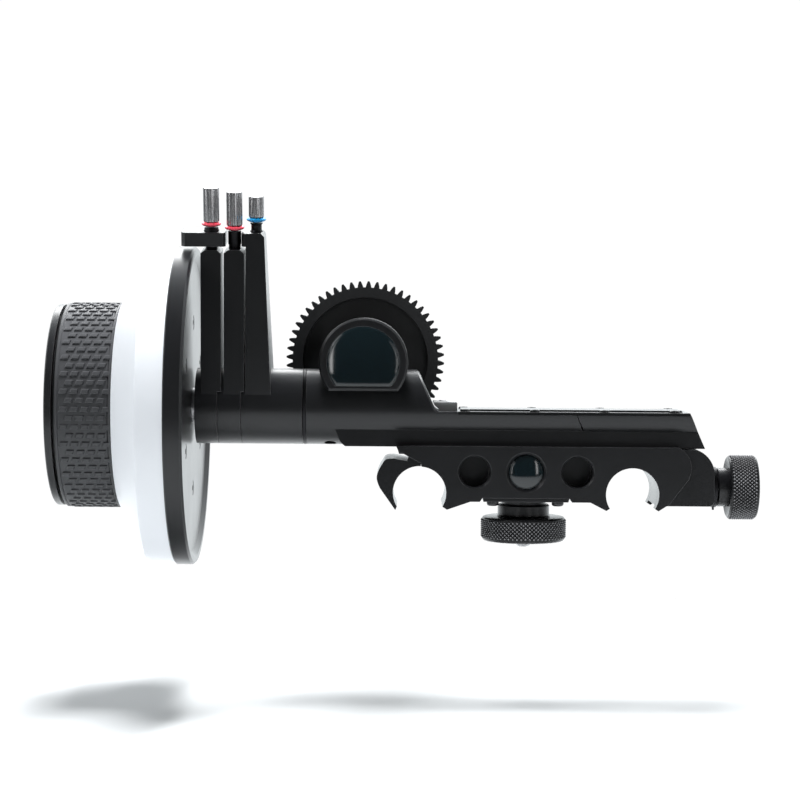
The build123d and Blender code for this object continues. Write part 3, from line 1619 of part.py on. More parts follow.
scale_seat_r = scale_r - scale_t - seat_gap
with BuildPart() as disc_flange:
    turned(
        wheel_plane,
        [
            (web_left_x, shaft_r + seat_gap),
            (web_left_x, flange_bowl_r),
            (disc_left_x - 2.0, scale_seat_r - 1.6),
            (disc_left_x - 2.0, scale_seat_r),
            (disc_left_x, scale_seat_r),
            (disc_left_x, disc_r - 0.3),
            (disc_left_x + 0.3, disc_r),
            (disc_right_x - 0.6, disc_r),
            (disc_right_x, disc_r - 0.6),
            (disc_right_x, disc_r - 2.2),
            (web_right_x, disc_r - 4.0),
            (web_right_x, shaft_r + seat_gap),
        ],
        wheel_axis,
    )
    with BuildSketch(Plane.YZ.offset(web_right_x)):
        with Locations((0, wheel_z)):
            with PolarLocations(web_screw_r, 6, 30):
                Circle(screw_head_r + seat_gap)
    extrude(amount=-screw_head_h - 0.1, mode=Mode.SUBTRACT)
    with BuildSketch(Plane.YZ.offset(web_right_x)):
        with Locations((0, wheel_z)):
            with PolarLocations(web_screw_r, 6, 30):
                Circle(screw_shank_r + seat_gap)
    extrude(amount=-web_t, mode=Mode.SUBTRACT)
write(disc_flange, "disc_flange")

with BuildPart() as wheel_screws:
    screw_ring(wheel_left_x + 0.1, 1, face_screw_pcd / 2, 4, 45)
    screw_ring(web_right_x - 0.1, -1, web_screw_r, 6, 30)
write(wheel_screws, "wheel_screws")

# ================================================================ gear train
small_end = 1 - mitre_face * sqrt(0.5) / mitre_r


def mitre_teeth_solid(apex, x_dir, away, first_angle):
    """Add a mitre gear's toothed cone: two outlines of one shape that point at the apex."""
    outlines = []
    for share in (1.0, small_end):
        place = apex + away * (mitre_r * share)
        with BuildSketch(Plane(origin=place, x_dir=x_dir, z_dir=away)) as section:
            with BuildLine():
                corners = mitre_outline(mitre_teeth, mitre_module, gear_thinning, first_angle, share)
                Polyline(*corners, close=True)
            make_face()
        outlines.append(section.sketch.face())
    loft(outlines, ruled=True)


train_apex = Vector(gear_x, 0, wheel_z)
with BuildPart() as input_mitre:
    mitre_teeth_solid(train_apex, (0, 1, 0), Vector(-1, 0, 0), 0)
    turned(
        wheel_plane,
        ring_points(shaft_step_x + 0.05, mitre_back_x, mitre_bore_r, mitre_hub_r),
        wheel_axis,
    )
    with BuildSketch(Plane.YZ.offset(mitre_back_x - 3)):
        with Locations((0, wheel_z)):
            Circle(mitre_bore_r)
    extrude(amount=3 + mitre_r, mode=Mode.SUBTRACT)
write(input_mitre, "input_mitre")

with BuildPart() as cross_mitre:
    mitre_teeth_solid(train_apex, (1, 0, 0), Vector(0, -1, 0), pi / mitre_teeth)
    turned(
        cross_plane,
        ring_points(cross_front_y + 3.1, -mitre_r, cross_shaft_r + seat_gap, mitre_hub_r - 0.3),
        cross_axis,
    )
    with BuildSketch(front(0)):
        with Locations((gear_x, wheel_z)):
            Circle(cross_shaft_r + seat_gap)
    extrude(amount=2 * mitre_r, mode=Mode.SUBTRACT)
write(cross_mitre, "cross_mitre")

with BuildPart() as cross_shaft:
    with BuildSketch(front(cover_seat_y - 0.1)):
        with Locations((gear_x, wheel_z)):
            Circle(cross_shaft_r)
    extrude(amount=cover_seat_y - 0.1 - cross_front_y)
write(cross_shaft, "cross_shaft")

spur_plane = Plane(origin=(gear_x, spur_y, wheel_z), x_dir=(0, 0, 1), z_dir=(0, 1, 0))
with BuildPart() as cross_spur:
    toothed(spur_plane, spur_outline(spur_teeth, spur_module, gear_thinning, 0), spur_face)
    with BuildSketch(spur_plane):
        Circle(cross_shaft_r + seat_gap)
    extrude(amount=spur_face, mode=Mode.SUBTRACT)
write(cross_spur, "cross_spur")

driven_plane = Plane(origin=(gear_x, spur_y, gear_z), x_dir=(0, 0, -1), z_dir=(0, 1, 0))
with BuildPart() as driven_spur:
    toothed(
        driven_plane,
        spur_outline(spur_teeth, spur_module, gear_thinning, pi / spur_teeth),
        spur_face,
    )
    with BuildSketch(driven_plane):
        Circle(drive_shaft_r + seat_gap)
    extrude(amount=spur_face, mode=Mode.SUBTRACT)
write(driven_spur, "driven_spur")

hub_front_y = case_outer_y + 0.5
drive_rear_y = drive_y + drive_face
with BuildPart() as drive_shaft:
    turned(
        gear_plane,
        [
            (front_bearing_y, 0),
            (front_bearing_y, drive_shaft_r),
            (front_bearing_y + bearing_w + 0.05, drive_shaft_r),
            (front_bearing_y + bearing_w + 0.05, drive_shaft_r + 1.0),
            (spur_y - 0.05, drive_shaft_r + 1.0),
            (spur_y - 0.05, drive_shaft_r),
            (drive_rear_y - web_recess, drive_shaft_r),
            (drive_rear_y - web_recess, gear_screw_r + seat_gap),
            (drive_rear_y - web_recess - 6, gear_screw_r + seat_gap),
            (drive_rear_y - web_recess - 6, 0),
        ],
        gear_axis,
    )
    # flat that carries the drive gear round
    with BuildSketch(front(drive_rear_y)):
        with Locations((gear_x, gear_z + drive_shaft_r)):
            Rectangle(2 * drive_shaft_r, 2 * shaft_flat)
    extrude(amount=drive_rear_y - hub_front_y, mode=Mode.SUBTRACT)
write(drive_shaft, "drive_shaft")

gear_face_plane = Plane(origin=(gear_x, drive_y, gear_z), x_dir=(1, 0, 0), z_dir=(0, 1, 0))
drive_outline = spur_outline(drive_teeth, drive_module, gear_thinning, drive_first_angle)
with BuildPart() as drive_gear:
    toothed(gear_face_plane, drive_outline, drive_face)
    # the web lies deep between the rim and the hub, front and rear
    for start in (drive_y, drive_rear_y - web_recess):
        with BuildSketch(front(start + web_recess)):
            with Locations((gear_x, gear_z)):
                Circle(drive_rim_r)
                Circle(drive_hub_r, mode=Mode.SUBTRACT)
        extrude(amount=web_recess, mode=Mode.SUBTRACT)
    with BuildSketch(front(drive_rear_y)):
        with Locations((gear_x, gear_z)):
            Circle(drive_hub_r)
    extrude(amount=web_recess, mode=Mode.SUBTRACT)
    with BuildSketch(front(drive_y)):
        with Locations((gear_x, gear_z)):
            Circle(drive_shaft_r + 2.0)
    extrude(amount=drive_y - hub_front_y)
    with BuildSketch(front(drive_rear_y)):
        with Locations((gear_x, gear_z)):
            Circle(drive_shaft_r + seat_gap)
        with Locations((gear_x, gear_z + drive_shaft_r)):
            Rectangle(2 * drive_shaft_r, 2 * (shaft_flat - seat_gap), mode=Mode.SUBTRACT)
    extrude(amount=drive_rear_y - hub_front_y, mode=Mode.SUBTRACT)
write(drive_gear, "drive_gear")

screw_base_y = drive_rear_y - web_recess
with BuildPart() as gear_screw:
    turned(
        gear_plane,
        [
            (screw_base_y - 5.5, 0),
            (screw_base_y - 5.5, gear_screw_r),
            (screw_base_y, gear_screw_r),
            (screw_base_y, drive_hub_r - 0.8),
            (screw_base_y + 0.8, drive_hub_r - 0.8),
            (screw_base_y + 1.3, drive_hub_r - 1.3),
            (screw_base_y + 1.3, 1.6),
            (screw_base_y + 0.2, 1.6),
            (screw_base_y + 0.2, 0),
        ],
        gear_axis,
    )
write(gear_screw, "gear_screw")
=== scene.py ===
"""Looks of a follow focus unit for a pair of 15 mm support rods.

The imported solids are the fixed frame. This script dresses them, adds the knurls, the grip's nubs
and the rings, and sets up the studio. Sizes are in millimetres until they reach Blender, which
works in metres.
"""

import json
import logging
import math
from dataclasses import dataclass
from enum import Enum
from typing import Callable, Iterable, Optional, Union

import bmesh
import bpy
from mathutils import Matrix, Vector


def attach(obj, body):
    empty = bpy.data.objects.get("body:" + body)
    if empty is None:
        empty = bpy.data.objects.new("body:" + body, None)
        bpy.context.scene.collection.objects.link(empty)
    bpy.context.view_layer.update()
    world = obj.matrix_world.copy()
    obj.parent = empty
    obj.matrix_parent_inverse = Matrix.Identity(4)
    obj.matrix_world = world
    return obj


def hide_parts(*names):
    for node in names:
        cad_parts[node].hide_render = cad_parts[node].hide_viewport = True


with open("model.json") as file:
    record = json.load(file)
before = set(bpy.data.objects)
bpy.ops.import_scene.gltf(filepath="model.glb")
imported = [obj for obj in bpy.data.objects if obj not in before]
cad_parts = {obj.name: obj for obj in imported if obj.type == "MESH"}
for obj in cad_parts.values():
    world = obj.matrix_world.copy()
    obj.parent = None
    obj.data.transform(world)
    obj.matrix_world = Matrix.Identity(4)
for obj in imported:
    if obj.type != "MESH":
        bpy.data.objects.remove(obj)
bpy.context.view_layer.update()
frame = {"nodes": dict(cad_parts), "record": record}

LOG = logging.getLogger("follow_focus")
MM = 0.001
Colour = tuple[float, float, float]
Point = tuple[float, float, float]

WHEEL_HEIGHT = 23.7     # the handwheel's axis above the rods' axes
ARM_LEAN = 11.5         # degrees that the stop arms lean towards the operator
NEAR = 0.01             # places closer than this are the same
LEVEL = 0.001           # edges that spread less than this run along an axis


class Line(Enum):
    """Direction in which a turned piece points."""

    SHAFT = (1.0, 0.0, 0.0)
    UP = (0.0, 0.0, 1.0)
    ARM = (0.0, -math.sin(math.radians(ARM_LEAN)), math.cos(math.radians(ARM_LEAN)))


# ---------------------------------------------------------------- shader tools
class Signal:
    """An output of a shader node. Arithmetic on it adds Math nodes to the tree."""

    def __init__(self, shader: "Shader", socket: bpy.types.NodeSocket) -> None:
        """Wrap a socket.

        Args:
            shader: the tree that the socket belongs to.
            socket: the output that carries the value.
        """
        self.shader = shader
        self.socket = socket

    def _math(self, operation: str, *operands: Union["Signal", float]) -> "Signal":
        """Add a Math node.

        Args:
            operation: name of the Math node's operation.
            operands: its inputs in order, as signals or numbers.

        Returns:
            The node's output.
        """
        inputs = dict(enumerate(operands))
        return self.shader.node("ShaderNodeMath", {"operation": operation}, inputs)

    def __add__(self, other: Union["Signal", float]) -> "Signal":
        """Return the sum."""
        return self._math("ADD", self, other)

    def __sub__(self, other: Union["Signal", float]) -> "Signal":
        """Return the difference."""
        return self._math("SUBTRACT", self, other)

    def __rsub__(self, other: float) -> "Signal":
        """Return a number minus this signal."""
        return self._math("SUBTRACT", other, self)

    def __mul__(self, other: Union["Signal", float]) -> "Signal":
        """Return the product."""
        return self._math("MULTIPLY", self, other)

    def __pow__(self, other: float) -> "Signal":
        """Return this signal raised to a power."""
        return self._math("POWER", self, other)

    __radd__ = __add__
    __rmul__ = __mul__

    def band(self, low: float, high: float) -> "Signal":
        """Return 0 below low, 1 above high and a smooth step between them.

        Args:
            low: value at which the step starts.
            high: value at which the step is complete.

        Returns:
            The step, from 0 to 1.
        """
        settings = {"interpolation_type": "SMOOTHSTEP"}
        inputs = {"Value": self, "From Min": low, "From Max": high}
        return self.shader.node("ShaderNodeMapRange", settings, inputs)

    def larger(self, other: Union["Signal", float]) -> "Signal":
        """Return the larger of the two."""
        return self._math("MAXIMUM", self, other)


class Shader:
    """The node tree of one material or world, with its main shader at the end."""

    def __init__(self, name: str, world: Optional[bpy.types.World] = None) -> None:
        """Make an empty material, or take over a world.

        Args:
            name: the material's name.
            world: the world whose background is set, if it isn't a material.
        """
        self.material = bpy.data.materials.new(name) if world is None else world
        self.material.use_nodes = True
        self.tree = self.material.node_tree
        self.surface = self.tree.nodes["Principled BSDF" if world is None else "Background"]

    def node(
        self, kind: str, settings: dict, inputs: dict, output: Union[int, str] = 0
    ) -> Signal:
        """Add any node.

        Args:
            kind: the node's type.
            settings: attributes that are set before the inputs, such as an operation.
            inputs: socket names or indexes, with the signal or value that each gets.
            output: the output that is wanted.

        Returns:
            That output.
        """
        made = self.tree.nodes.new(kind)
        for key, value in settings.items():
            setattr(made, key, value)
        for key, value in inputs.items():
            self._feed(made.inputs[key], value)
        return Signal(self, made.outputs[output])

    def _feed(self, socket: bpy.types.NodeSocket, value: object) -> None:
        """Link a signal to a socket, or set its value.

        Args:
            socket: the input.
            value: a signal, number, colour or vector.
        """
        if isinstance(value, Signal):
            self.tree.links.new(value.socket, socket)
        elif socket.type == "RGBA" and len(value) == 3:
            socket.default_value = (*value, 1.0)
        else:
            socket.default_value = value

    def put(self, **values: object) -> None:
        """Set the Principled shader's inputs.

        Args:
            values: input names, with underscores for spaces, and what each gets.
        """
        for key, value in values.items():
            self._feed(self.surface.inputs[key.replace("_", " ")], value)

    def place(self) -> Signal:
        """Return the object coordinates, which are the part's own, in metres."""
        return self.node("ShaderNodeTexCoord", {}, {}, "Object")

    def axes(self) -> tuple[Signal, Signal, Signal]:
        """Split the object coordinates.

        Returns:
            The three coordinates, in metres.
        """
        split = self.node("ShaderNodeSeparateXYZ", {}, {"Vector": self.place()})
        outputs = split.socket.node.outputs
        return tuple(Signal(self, outputs[name]) for name in "XYZ")

    def noise(self, grain: float, detail: float = 3.0, stretch: Point = (1, 1, 1)) -> Signal:
        """Add smooth noise.

        Args:
            grain: size of its grains in millimetres.
            detail: how many finer layers it has.
            stretch: factors on the frequency along X, Y and Z.

        Returns:
            The noise, about 0.5.
        """
        scaled = self.node("ShaderNodeMapping", {}, {"Vector": self.place(), "Scale": stretch})
        inputs = {"Vector": scaled, "Scale": 1 / (grain * MM), "Detail": detail}
        return self.node("ShaderNodeTexNoise", {}, inputs, "Fac")

    def blend(
        self, factor: Signal, low: Union[Signal, Colour], high: Union[Signal, Colour]
    ) -> Signal:
        """Mix two colours.

        Args:
            factor: 0 for the first and 1 for the second.
            low: the first colour.
            high: the second colour.

        Returns:
            The mixed colour.
        """
        made = self.tree.nodes.new("ShaderNodeMix")
        made.data_type = "RGBA"
        self._feed(made.inputs[0], factor)
        self._feed(made.inputs[6], low)
        self._feed(made.inputs[7], high)
        return Signal(self, made.outputs[2])

    def soft_edges(self, radius: float) -> Signal:
        """Return a normal that rounds the solid's edges.

        Args:
            radius: the round's radius in millimetres.

        Returns:
            The rounded normal.
        """
        return self.node("ShaderNodeBevel", {"samples": 6}, {"Radius": radius * MM})

    def edge_mask(self, normal: Signal, reach: float) -> Signal:
        """Find the edges, where the rounded normal leaves the true one.

        Args:
            normal: the rounded normal.
            reach: how far apart the two are where the mask is complete, from 0 to 1.

        Returns:
            1 along the edges and 0 on the flats.
        """
        true = self.node("ShaderNodeNewGeometry", {}, {}, "Normal")
        settings = {"operation": "DOT_PRODUCT"}
        agree = self.node("ShaderNodeVectorMath", settings, {0: normal, 1: true}, "Value")
        return (1 - agree).band(0.01, reach)

    def bump(self, height: Signal, depth: float, under: Optional[Signal] = None) -> Signal:
        """Turn a height into a normal.

        Args:
            height: the height, from 0 to 1.
            depth: its full depth in millimetres.
            under: the normal that it is laid on.

        Returns:
            The new normal.
        """
        inputs = {"Height": height, "Distance": depth * MM, "Strength": 1.0}
        if under is not None:
            inputs["Normal"] = under
        return self.node("ShaderNodeBump", {}, inputs)


# ---------------------------------------------------------------- finishes
@dataclass(frozen=True)
class Anodised:
    """Bead-blasted, anodised aluminium, painted paler along its edges as a highlight."""

    name: str
    colour: Colour = (0.0085, 0.0088, 0.0098)
    # pale colour painted along the edges as a highlight
    edge_highlight_colour: Colour = (0.2, 0.2, 0.205)
    roughness: float = 0.32
    edge_radius: float = 0.22
    cloud_size: float = 14.0
    grain_size: float = 0.16
    grain_depth: float = 0.006
    metallic: float = 0.35

    def build(self) -> bpy.types.Material:
        """Build the finish's nodes.

        Returns:
            The material.
        """
        shader = Shader(self.name)
        normal = shader.soft_edges(self.edge_radius)
        edge = shader.edge_mask(normal, 0.3)
        cloud = shader.noise(self.cloud_size, 2.0)
        grain = shader.noise(self.grain_size, 2.0)
        pale = tuple(1.35 * channel for channel in self.colour)
        tone = shader.blend(cloud, self.colour, pale)
        patchy = (cloud - 0.5) * 0.08 + (grain - 0.5) * 0.1
        shader.put(
            # paler along the edges: a painted highlight where the rounded edges would catch the light
            Base_Color=shader.blend(edge * 0.6, tone, self.edge_highlight_colour),
            Roughness=patchy + (edge * -0.08 + self.roughness),
            Metallic=self.metallic,
            Normal=shader.bump(grain, self.grain_depth, normal),
        )
        return shader.material


@dataclass(frozen=True)
class Knurled:
    """Black knurling whose points are painted pale as a highlight and whose valleys stay dark."""

    name: str
    line: Line
    centre: tuple[float, float]
    radius: float
    dark_depth: float = 0.35
    bright_depth: float = 0.03
    valley_colour: Colour = (0.006, 0.006, 0.007)
    # pale colour painted on the points as a highlight
    point_highlight_colour: Colour = (0.24, 0.24, 0.25)
    roughness: float = 0.34
    edge_radius: float = 0.05
    cloud_size: float = 3.0
    metallic: float = 0.35

    def build(self) -> bpy.types.Material:
        """Build the finish's nodes.

        Returns:
            The material.
        """
        shader = Shader(self.name)
        across = [axis for axis, own in zip(shader.axes(), self.line.value) if own == 0]
        first, second = (axis - middle * MM for axis, middle in zip(across, self.centre))
        reach = (first * first + second * second) ** 0.5
        cloud = shader.noise(self.cloud_size, 2.0)
        valley, point = self.radius - self.dark_depth, self.radius - self.bright_depth
        # paler towards the points: a painted highlight on the ridges, its strength varied at random
        mottle_and_sheen = reach.band(valley * MM, point * MM) * (cloud * 0.5 + 0.75)
        shader.put(
            Base_Color=shader.blend(mottle_and_sheen, self.valley_colour, self.point_highlight_colour),
            Roughness=(cloud - 0.5) * 0.1 + self.roughness,
            Metallic=self.metallic,
            Normal=shader.soft_edges(self.edge_radius),
        )
        return shader.material


@dataclass(frozen=True)
class Metal:
    """Bare or plated metal with turning or brush lines."""

    name: str
    colour: Colour = (0.55, 0.55, 0.56)
    roughness: float = 0.3
    line_stretch: Point = (30, 1, 1)
    edge_radius: float = 0.12
    line_size: float = 2.0
    line_depth: float = 0.004
    cloud_size: float = 6.0

    def build(self) -> bpy.types.Material:
        """Build the finish's nodes.

        Returns:
            The material.
        """
        shader = Shader(self.name)
        normal = shader.soft_edges(self.edge_radius)
        lines = shader.noise(self.line_size, 3.0, self.line_stretch)
        cloud = shader.noise(self.cloud_size, 2.0)
        dark = tuple(0.72 * channel for channel in self.colour)
        shader.put(
            Base_Color=shader.blend(cloud, dark, self.colour),
            Roughness=(lines - 0.5) * 0.25 + self.roughness,
            Metallic=1.0,
            Normal=shader.bump(lines, self.line_depth, normal),
        )
        return shader.material


@dataclass(frozen=True)
class Rubber:
    """Matte moulded rubber, mottled at random and painted paler along its edges as a highlight."""

    name: str
    colour: Colour = (0.036, 0.037, 0.04)
    # paler colour for the random mottle and for the highlight painted along the edges
    mottle_and_sheen_colour: Colour = (0.066, 0.068, 0.072)
    roughness: float = 0.5
    edge_radius: float = 0.15
    cloud_size: float = 9.0
    grain_size: float = 0.2
    grain_depth: float = 0.012
    specular: float = 0.4

    def build(self) -> bpy.types.Material:
        """Build the finish's nodes.

        Returns:
            The material.
        """
        shader = Shader(self.name)
        normal = shader.soft_edges(self.edge_radius)
        edge = shader.edge_mask(normal, 0.35)
        cloud = shader.noise(self.cloud_size, 3.0)
        grain = shader.noise(self.grain_size, 2.0)
        # random mottle plus a painted highlight along the edges
        mottle_and_sheen = (cloud * 0.5 + edge * 0.5).band(0.25, 0.8)
        shader.put(
            Base_Color=shader.blend(mottle_and_sheen, self.colour, self.mottle_and_sheen_colour),
            Roughness=(grain - 0.5) * 0.16 + self.roughness,
            Normal=shader.bump(grain, self.grain_depth, normal),
            Specular_IOR_Level=self.specular,
        )
        return shader.material


@dataclass(frozen=True)
class Elastomer:
    """Soft coloured rubber of the small rings."""

    name: str
    colour: Colour
    roughness: float = 0.42
    cloud_size: float = 1.5
    grain_size: float = 0.12
    grain_depth: float = 0.004

    def build(self) -> bpy.types.Material:
        """Build the finish's nodes.

        Returns:
            The material.
        """
        shader = Shader(self.name)
        cloud = shader.noise(self.cloud_size, 2.0)
        deep = tuple(0.75 * channel for channel in self.colour)
        shader.put(
            Base_Color=shader.blend(cloud, deep, self.colour),
            Roughness=(cloud - 0.5) * 0.1 + self.roughness,
            Normal=shader.bump(shader.noise(self.grain_size, 1.0), self.grain_depth),
        )
        return shader.material


@dataclass(frozen=True)
class MilkyDisc:
    """Translucent white plastic that takes a marker pen, brightened by a painted glow from emission."""

    name: str
    colour: Colour = (0.37, 0.38, 0.4)
    cool_colour: Colour = (0.35, 0.365, 0.385)
    # emission colour: painted light, the disc glows though it is no lamp
    painted_glow_colour: Colour = (0.9, 0.95, 1.0)
    painted_glow: float = 0.42
    roughness: float = 0.38
    edge_radius: float = 0.3
    cloud_size: float = 20.0
    grain_size: float = 0.25
    grain_depth: float = 0.003
    scatter: float = 0.35
    scatter_depth: float = 3.0

    def build(self) -> bpy.types.Material:
        """Build the finish's nodes.

        Returns:
            The material.
        """
        shader = Shader(self.name)
        cloud = shader.noise(self.cloud_size, 2.0)
        grain = shader.noise(self.grain_size, 2.0)
        normal = shader.soft_edges(self.edge_radius)
        shader.put(
            Base_Color=shader.blend(cloud, self.cool_colour, self.colour),
            Roughness=(grain - 0.5) * 0.08 + self.roughness,
            Normal=shader.bump(grain, self.grain_depth, normal),
            Subsurface_Weight=self.scatter,
            Subsurface_Radius=(1.0, 1.0, 1.0),
            Subsurface_Scale=self.scatter_depth * MM,
            # emission is painted light that brightens the disc; it is no lamp
            Emission_Color=self.painted_glow_colour,
            Emission_Strength=self.painted_glow,
        )
        return shader.material


@dataclass(frozen=True)
class GlossDome:
    """Poured gloss resin over black."""

    name: str
    colour: Colour = (0.002, 0.006, 0.008)
    pale_colour: Colour = (0.003, 0.008, 0.01)
    roughness: float = 0.05
    edge_radius: float = 1.4
    cloud_size: float = 8.0
    specular: float = 0.6

    def build(self) -> bpy.types.Material:
        """Build the finish's nodes.

        Returns:
            The material.
        """
        shader = Shader(self.name)
        cloud = shader.noise(self.cloud_size, 2.0)
        shader.put(
            Base_Color=shader.blend(cloud, self.colour, self.pale_colour),
            Roughness=cloud * 0.03 + self.roughness,
            Normal=shader.soft_edges(self.edge_radius),
            Specular_IOR_Level=self.specular,
        )
        return shader.material


@dataclass(frozen=True)
class Acetal:
    """Machined black plastic of the gear, painted paler along its edges as a highlight."""

    name: str
    colour: Colour = (0.012, 0.0125, 0.0135)
    # pale colour painted along the edges as a highlight
    edge_highlight_colour: Colour = (0.06, 0.06, 0.062)
    roughness: float = 0.42
    edge_radius: float = 0.12
    grain_size: float = 0.3
    grain_depth: float = 0.006

    def build(self) -> bpy.types.Material:
        """Build the finish's nodes.

        Returns:
            The material.
        """
        shader = Shader(self.name)
        normal = shader.soft_edges(self.edge_radius)
        edge = shader.edge_mask(normal, 0.4)
        grain = shader.noise(self.grain_size, 2.0)
        shader.put(
            # paler along the edges: a painted highlight
            Base_Color=shader.blend(edge * 0.7, self.colour, self.edge_highlight_colour),
            Roughness=(grain - 0.5) * 0.12 + self.roughness,
            Normal=shader.bump(grain, self.grain_depth, normal),
        )
        return shader.material


# ---------------------------------------------------------------- dressing
def dress(names: Iterable[str], material: bpy.types.Material) -> None:
    """Give CAD nodes a material.

    Args:
        names: the nodes' names.
        material: what they get.
    """
    for name in names:
        slots = frame["nodes"][name].material_slots
        for slot in slots:
            slot.material = material
        LOG.info("dressed %s with %s", name, material.name)


class Finishes:
    """All finishes of the unit, built once."""

    def __init__(self) -> None:
        """Build every finish."""
        knurl_middle = (0.0, ClampKnob.height)
        self.black = Anodised("black_anodised").build()
        self.dark_steel = Metal("dark_steel", (0.06, 0.06, 0.062), 0.35).build()
        self.blackened = Metal("blackened_steel", (0.025, 0.025, 0.027), 0.45).build()
        self.steel = Metal("ground_steel").build()
        self.bright = Metal("turned_aluminium", (0.5, 0.5, 0.5), 0.34).build()
        self.bronze = Metal("bronze", (0.55, 0.36, 0.16), 0.38).build()
        self.rubber = Rubber("grip_rubber").build()
        self.disc = MilkyDisc("milky_disc").build()
        self.lens = GlossDome("gloss_dome").build()
        self.gear = Acetal("gear_acetal").build()
        self.clamp_knurl = Knurled("clamp_knurl", Line.SHAFT, knurl_middle, ClampKnob.radius).build()
        self.lock_knurl = Knurled("lock_knurl", Line.UP, (0.0, 0.0), LockKnob.radius).build()
        self.knurled_bright = Metal("knurled_pin", (0.46, 0.46, 0.47), edge_radius=0.05).build()
        self.red = Elastomer("red_ring", (0.8, 0.07, 0.11)).build()
        self.blue = Elastomer("blue_ring", (0.002, 0.22, 0.5)).build()


BY_SLOT = {
    "black_anodised": "black",
    "dark_steel": "dark_steel",
    "steel": "steel",
    "brushed_aluminium": "bright",
    "grip_rubber": "rubber",
    "scale_white": "disc",
    "lens_gloss": "lens",
    "ring_red": "red",
    "ring_blue": "blue",
    "bronze": "bronze",
    "gear_black": "gear",
}
BLACKENED = ("stem_a", "stem_b", "stem_c", "joint_ring", "spring_washer")


def dress_frame(finishes: Finishes) -> None:
    """Dress every CAD node by its material slot, and blacken the small pieces that are black.

    Args:
        finishes: the built finishes.
    """
    for part in frame["record"]["subparts"]:
        dress([part["node"]], getattr(finishes, BY_SLOT[part["material_slot"]]))
    dress(BLACKENED, finishes.blackened)
    dress(("wheel_screws",), finishes.black)


# ---------------------------------------------------------------- modelling tools
class Element(Enum):
    """What a selection in edit mode is made of."""

    VERTICES = "VERT"
    EDGES = "EDGE"
    FACES = "FACE"


def deselect() -> None:
    """Leave nothing selected, in object mode."""
    if bpy.context.object is not None and bpy.context.object.mode == "EDIT":
        bpy.ops.object.mode_set(mode="OBJECT")
    bpy.ops.object.select_all(action="DESELECT")


def pick(shape: bpy.types.Object, kind: Element, test: Callable[[object], bool]) -> None:
    """Select what passes a test, in edit mode.

    Args:
        shape: the object in edit mode.
        kind: vertices, edges or faces.
        test: called with each of them.
    """
    bpy.ops.mesh.select_mode(type=kind.value)
    bpy.ops.mesh.select_all(action="DESELECT")
    mesh = bmesh.from_edit_mesh(shape.data)
    pools = {
        Element.VERTICES: mesh.verts,
        Element.EDGES: mesh.edges,
        Element.FACES: mesh.faces,
    }
    found = [item for item in pools[kind] if test(item)]
    for item in found:
        item.select_set(True)
    mesh.select_flush_mode()
    bmesh.update_edit_mesh(shape.data)


def spread(edge: bmesh.types.BMEdge) -> tuple[float, float]:
    """Return how far an edge goes across Z and along Z, in millimetres."""
    gap = (edge.verts[0].co - edge.verts[1].co) / MM
    return math.hypot(gap.x, gap.y), abs(gap.z)


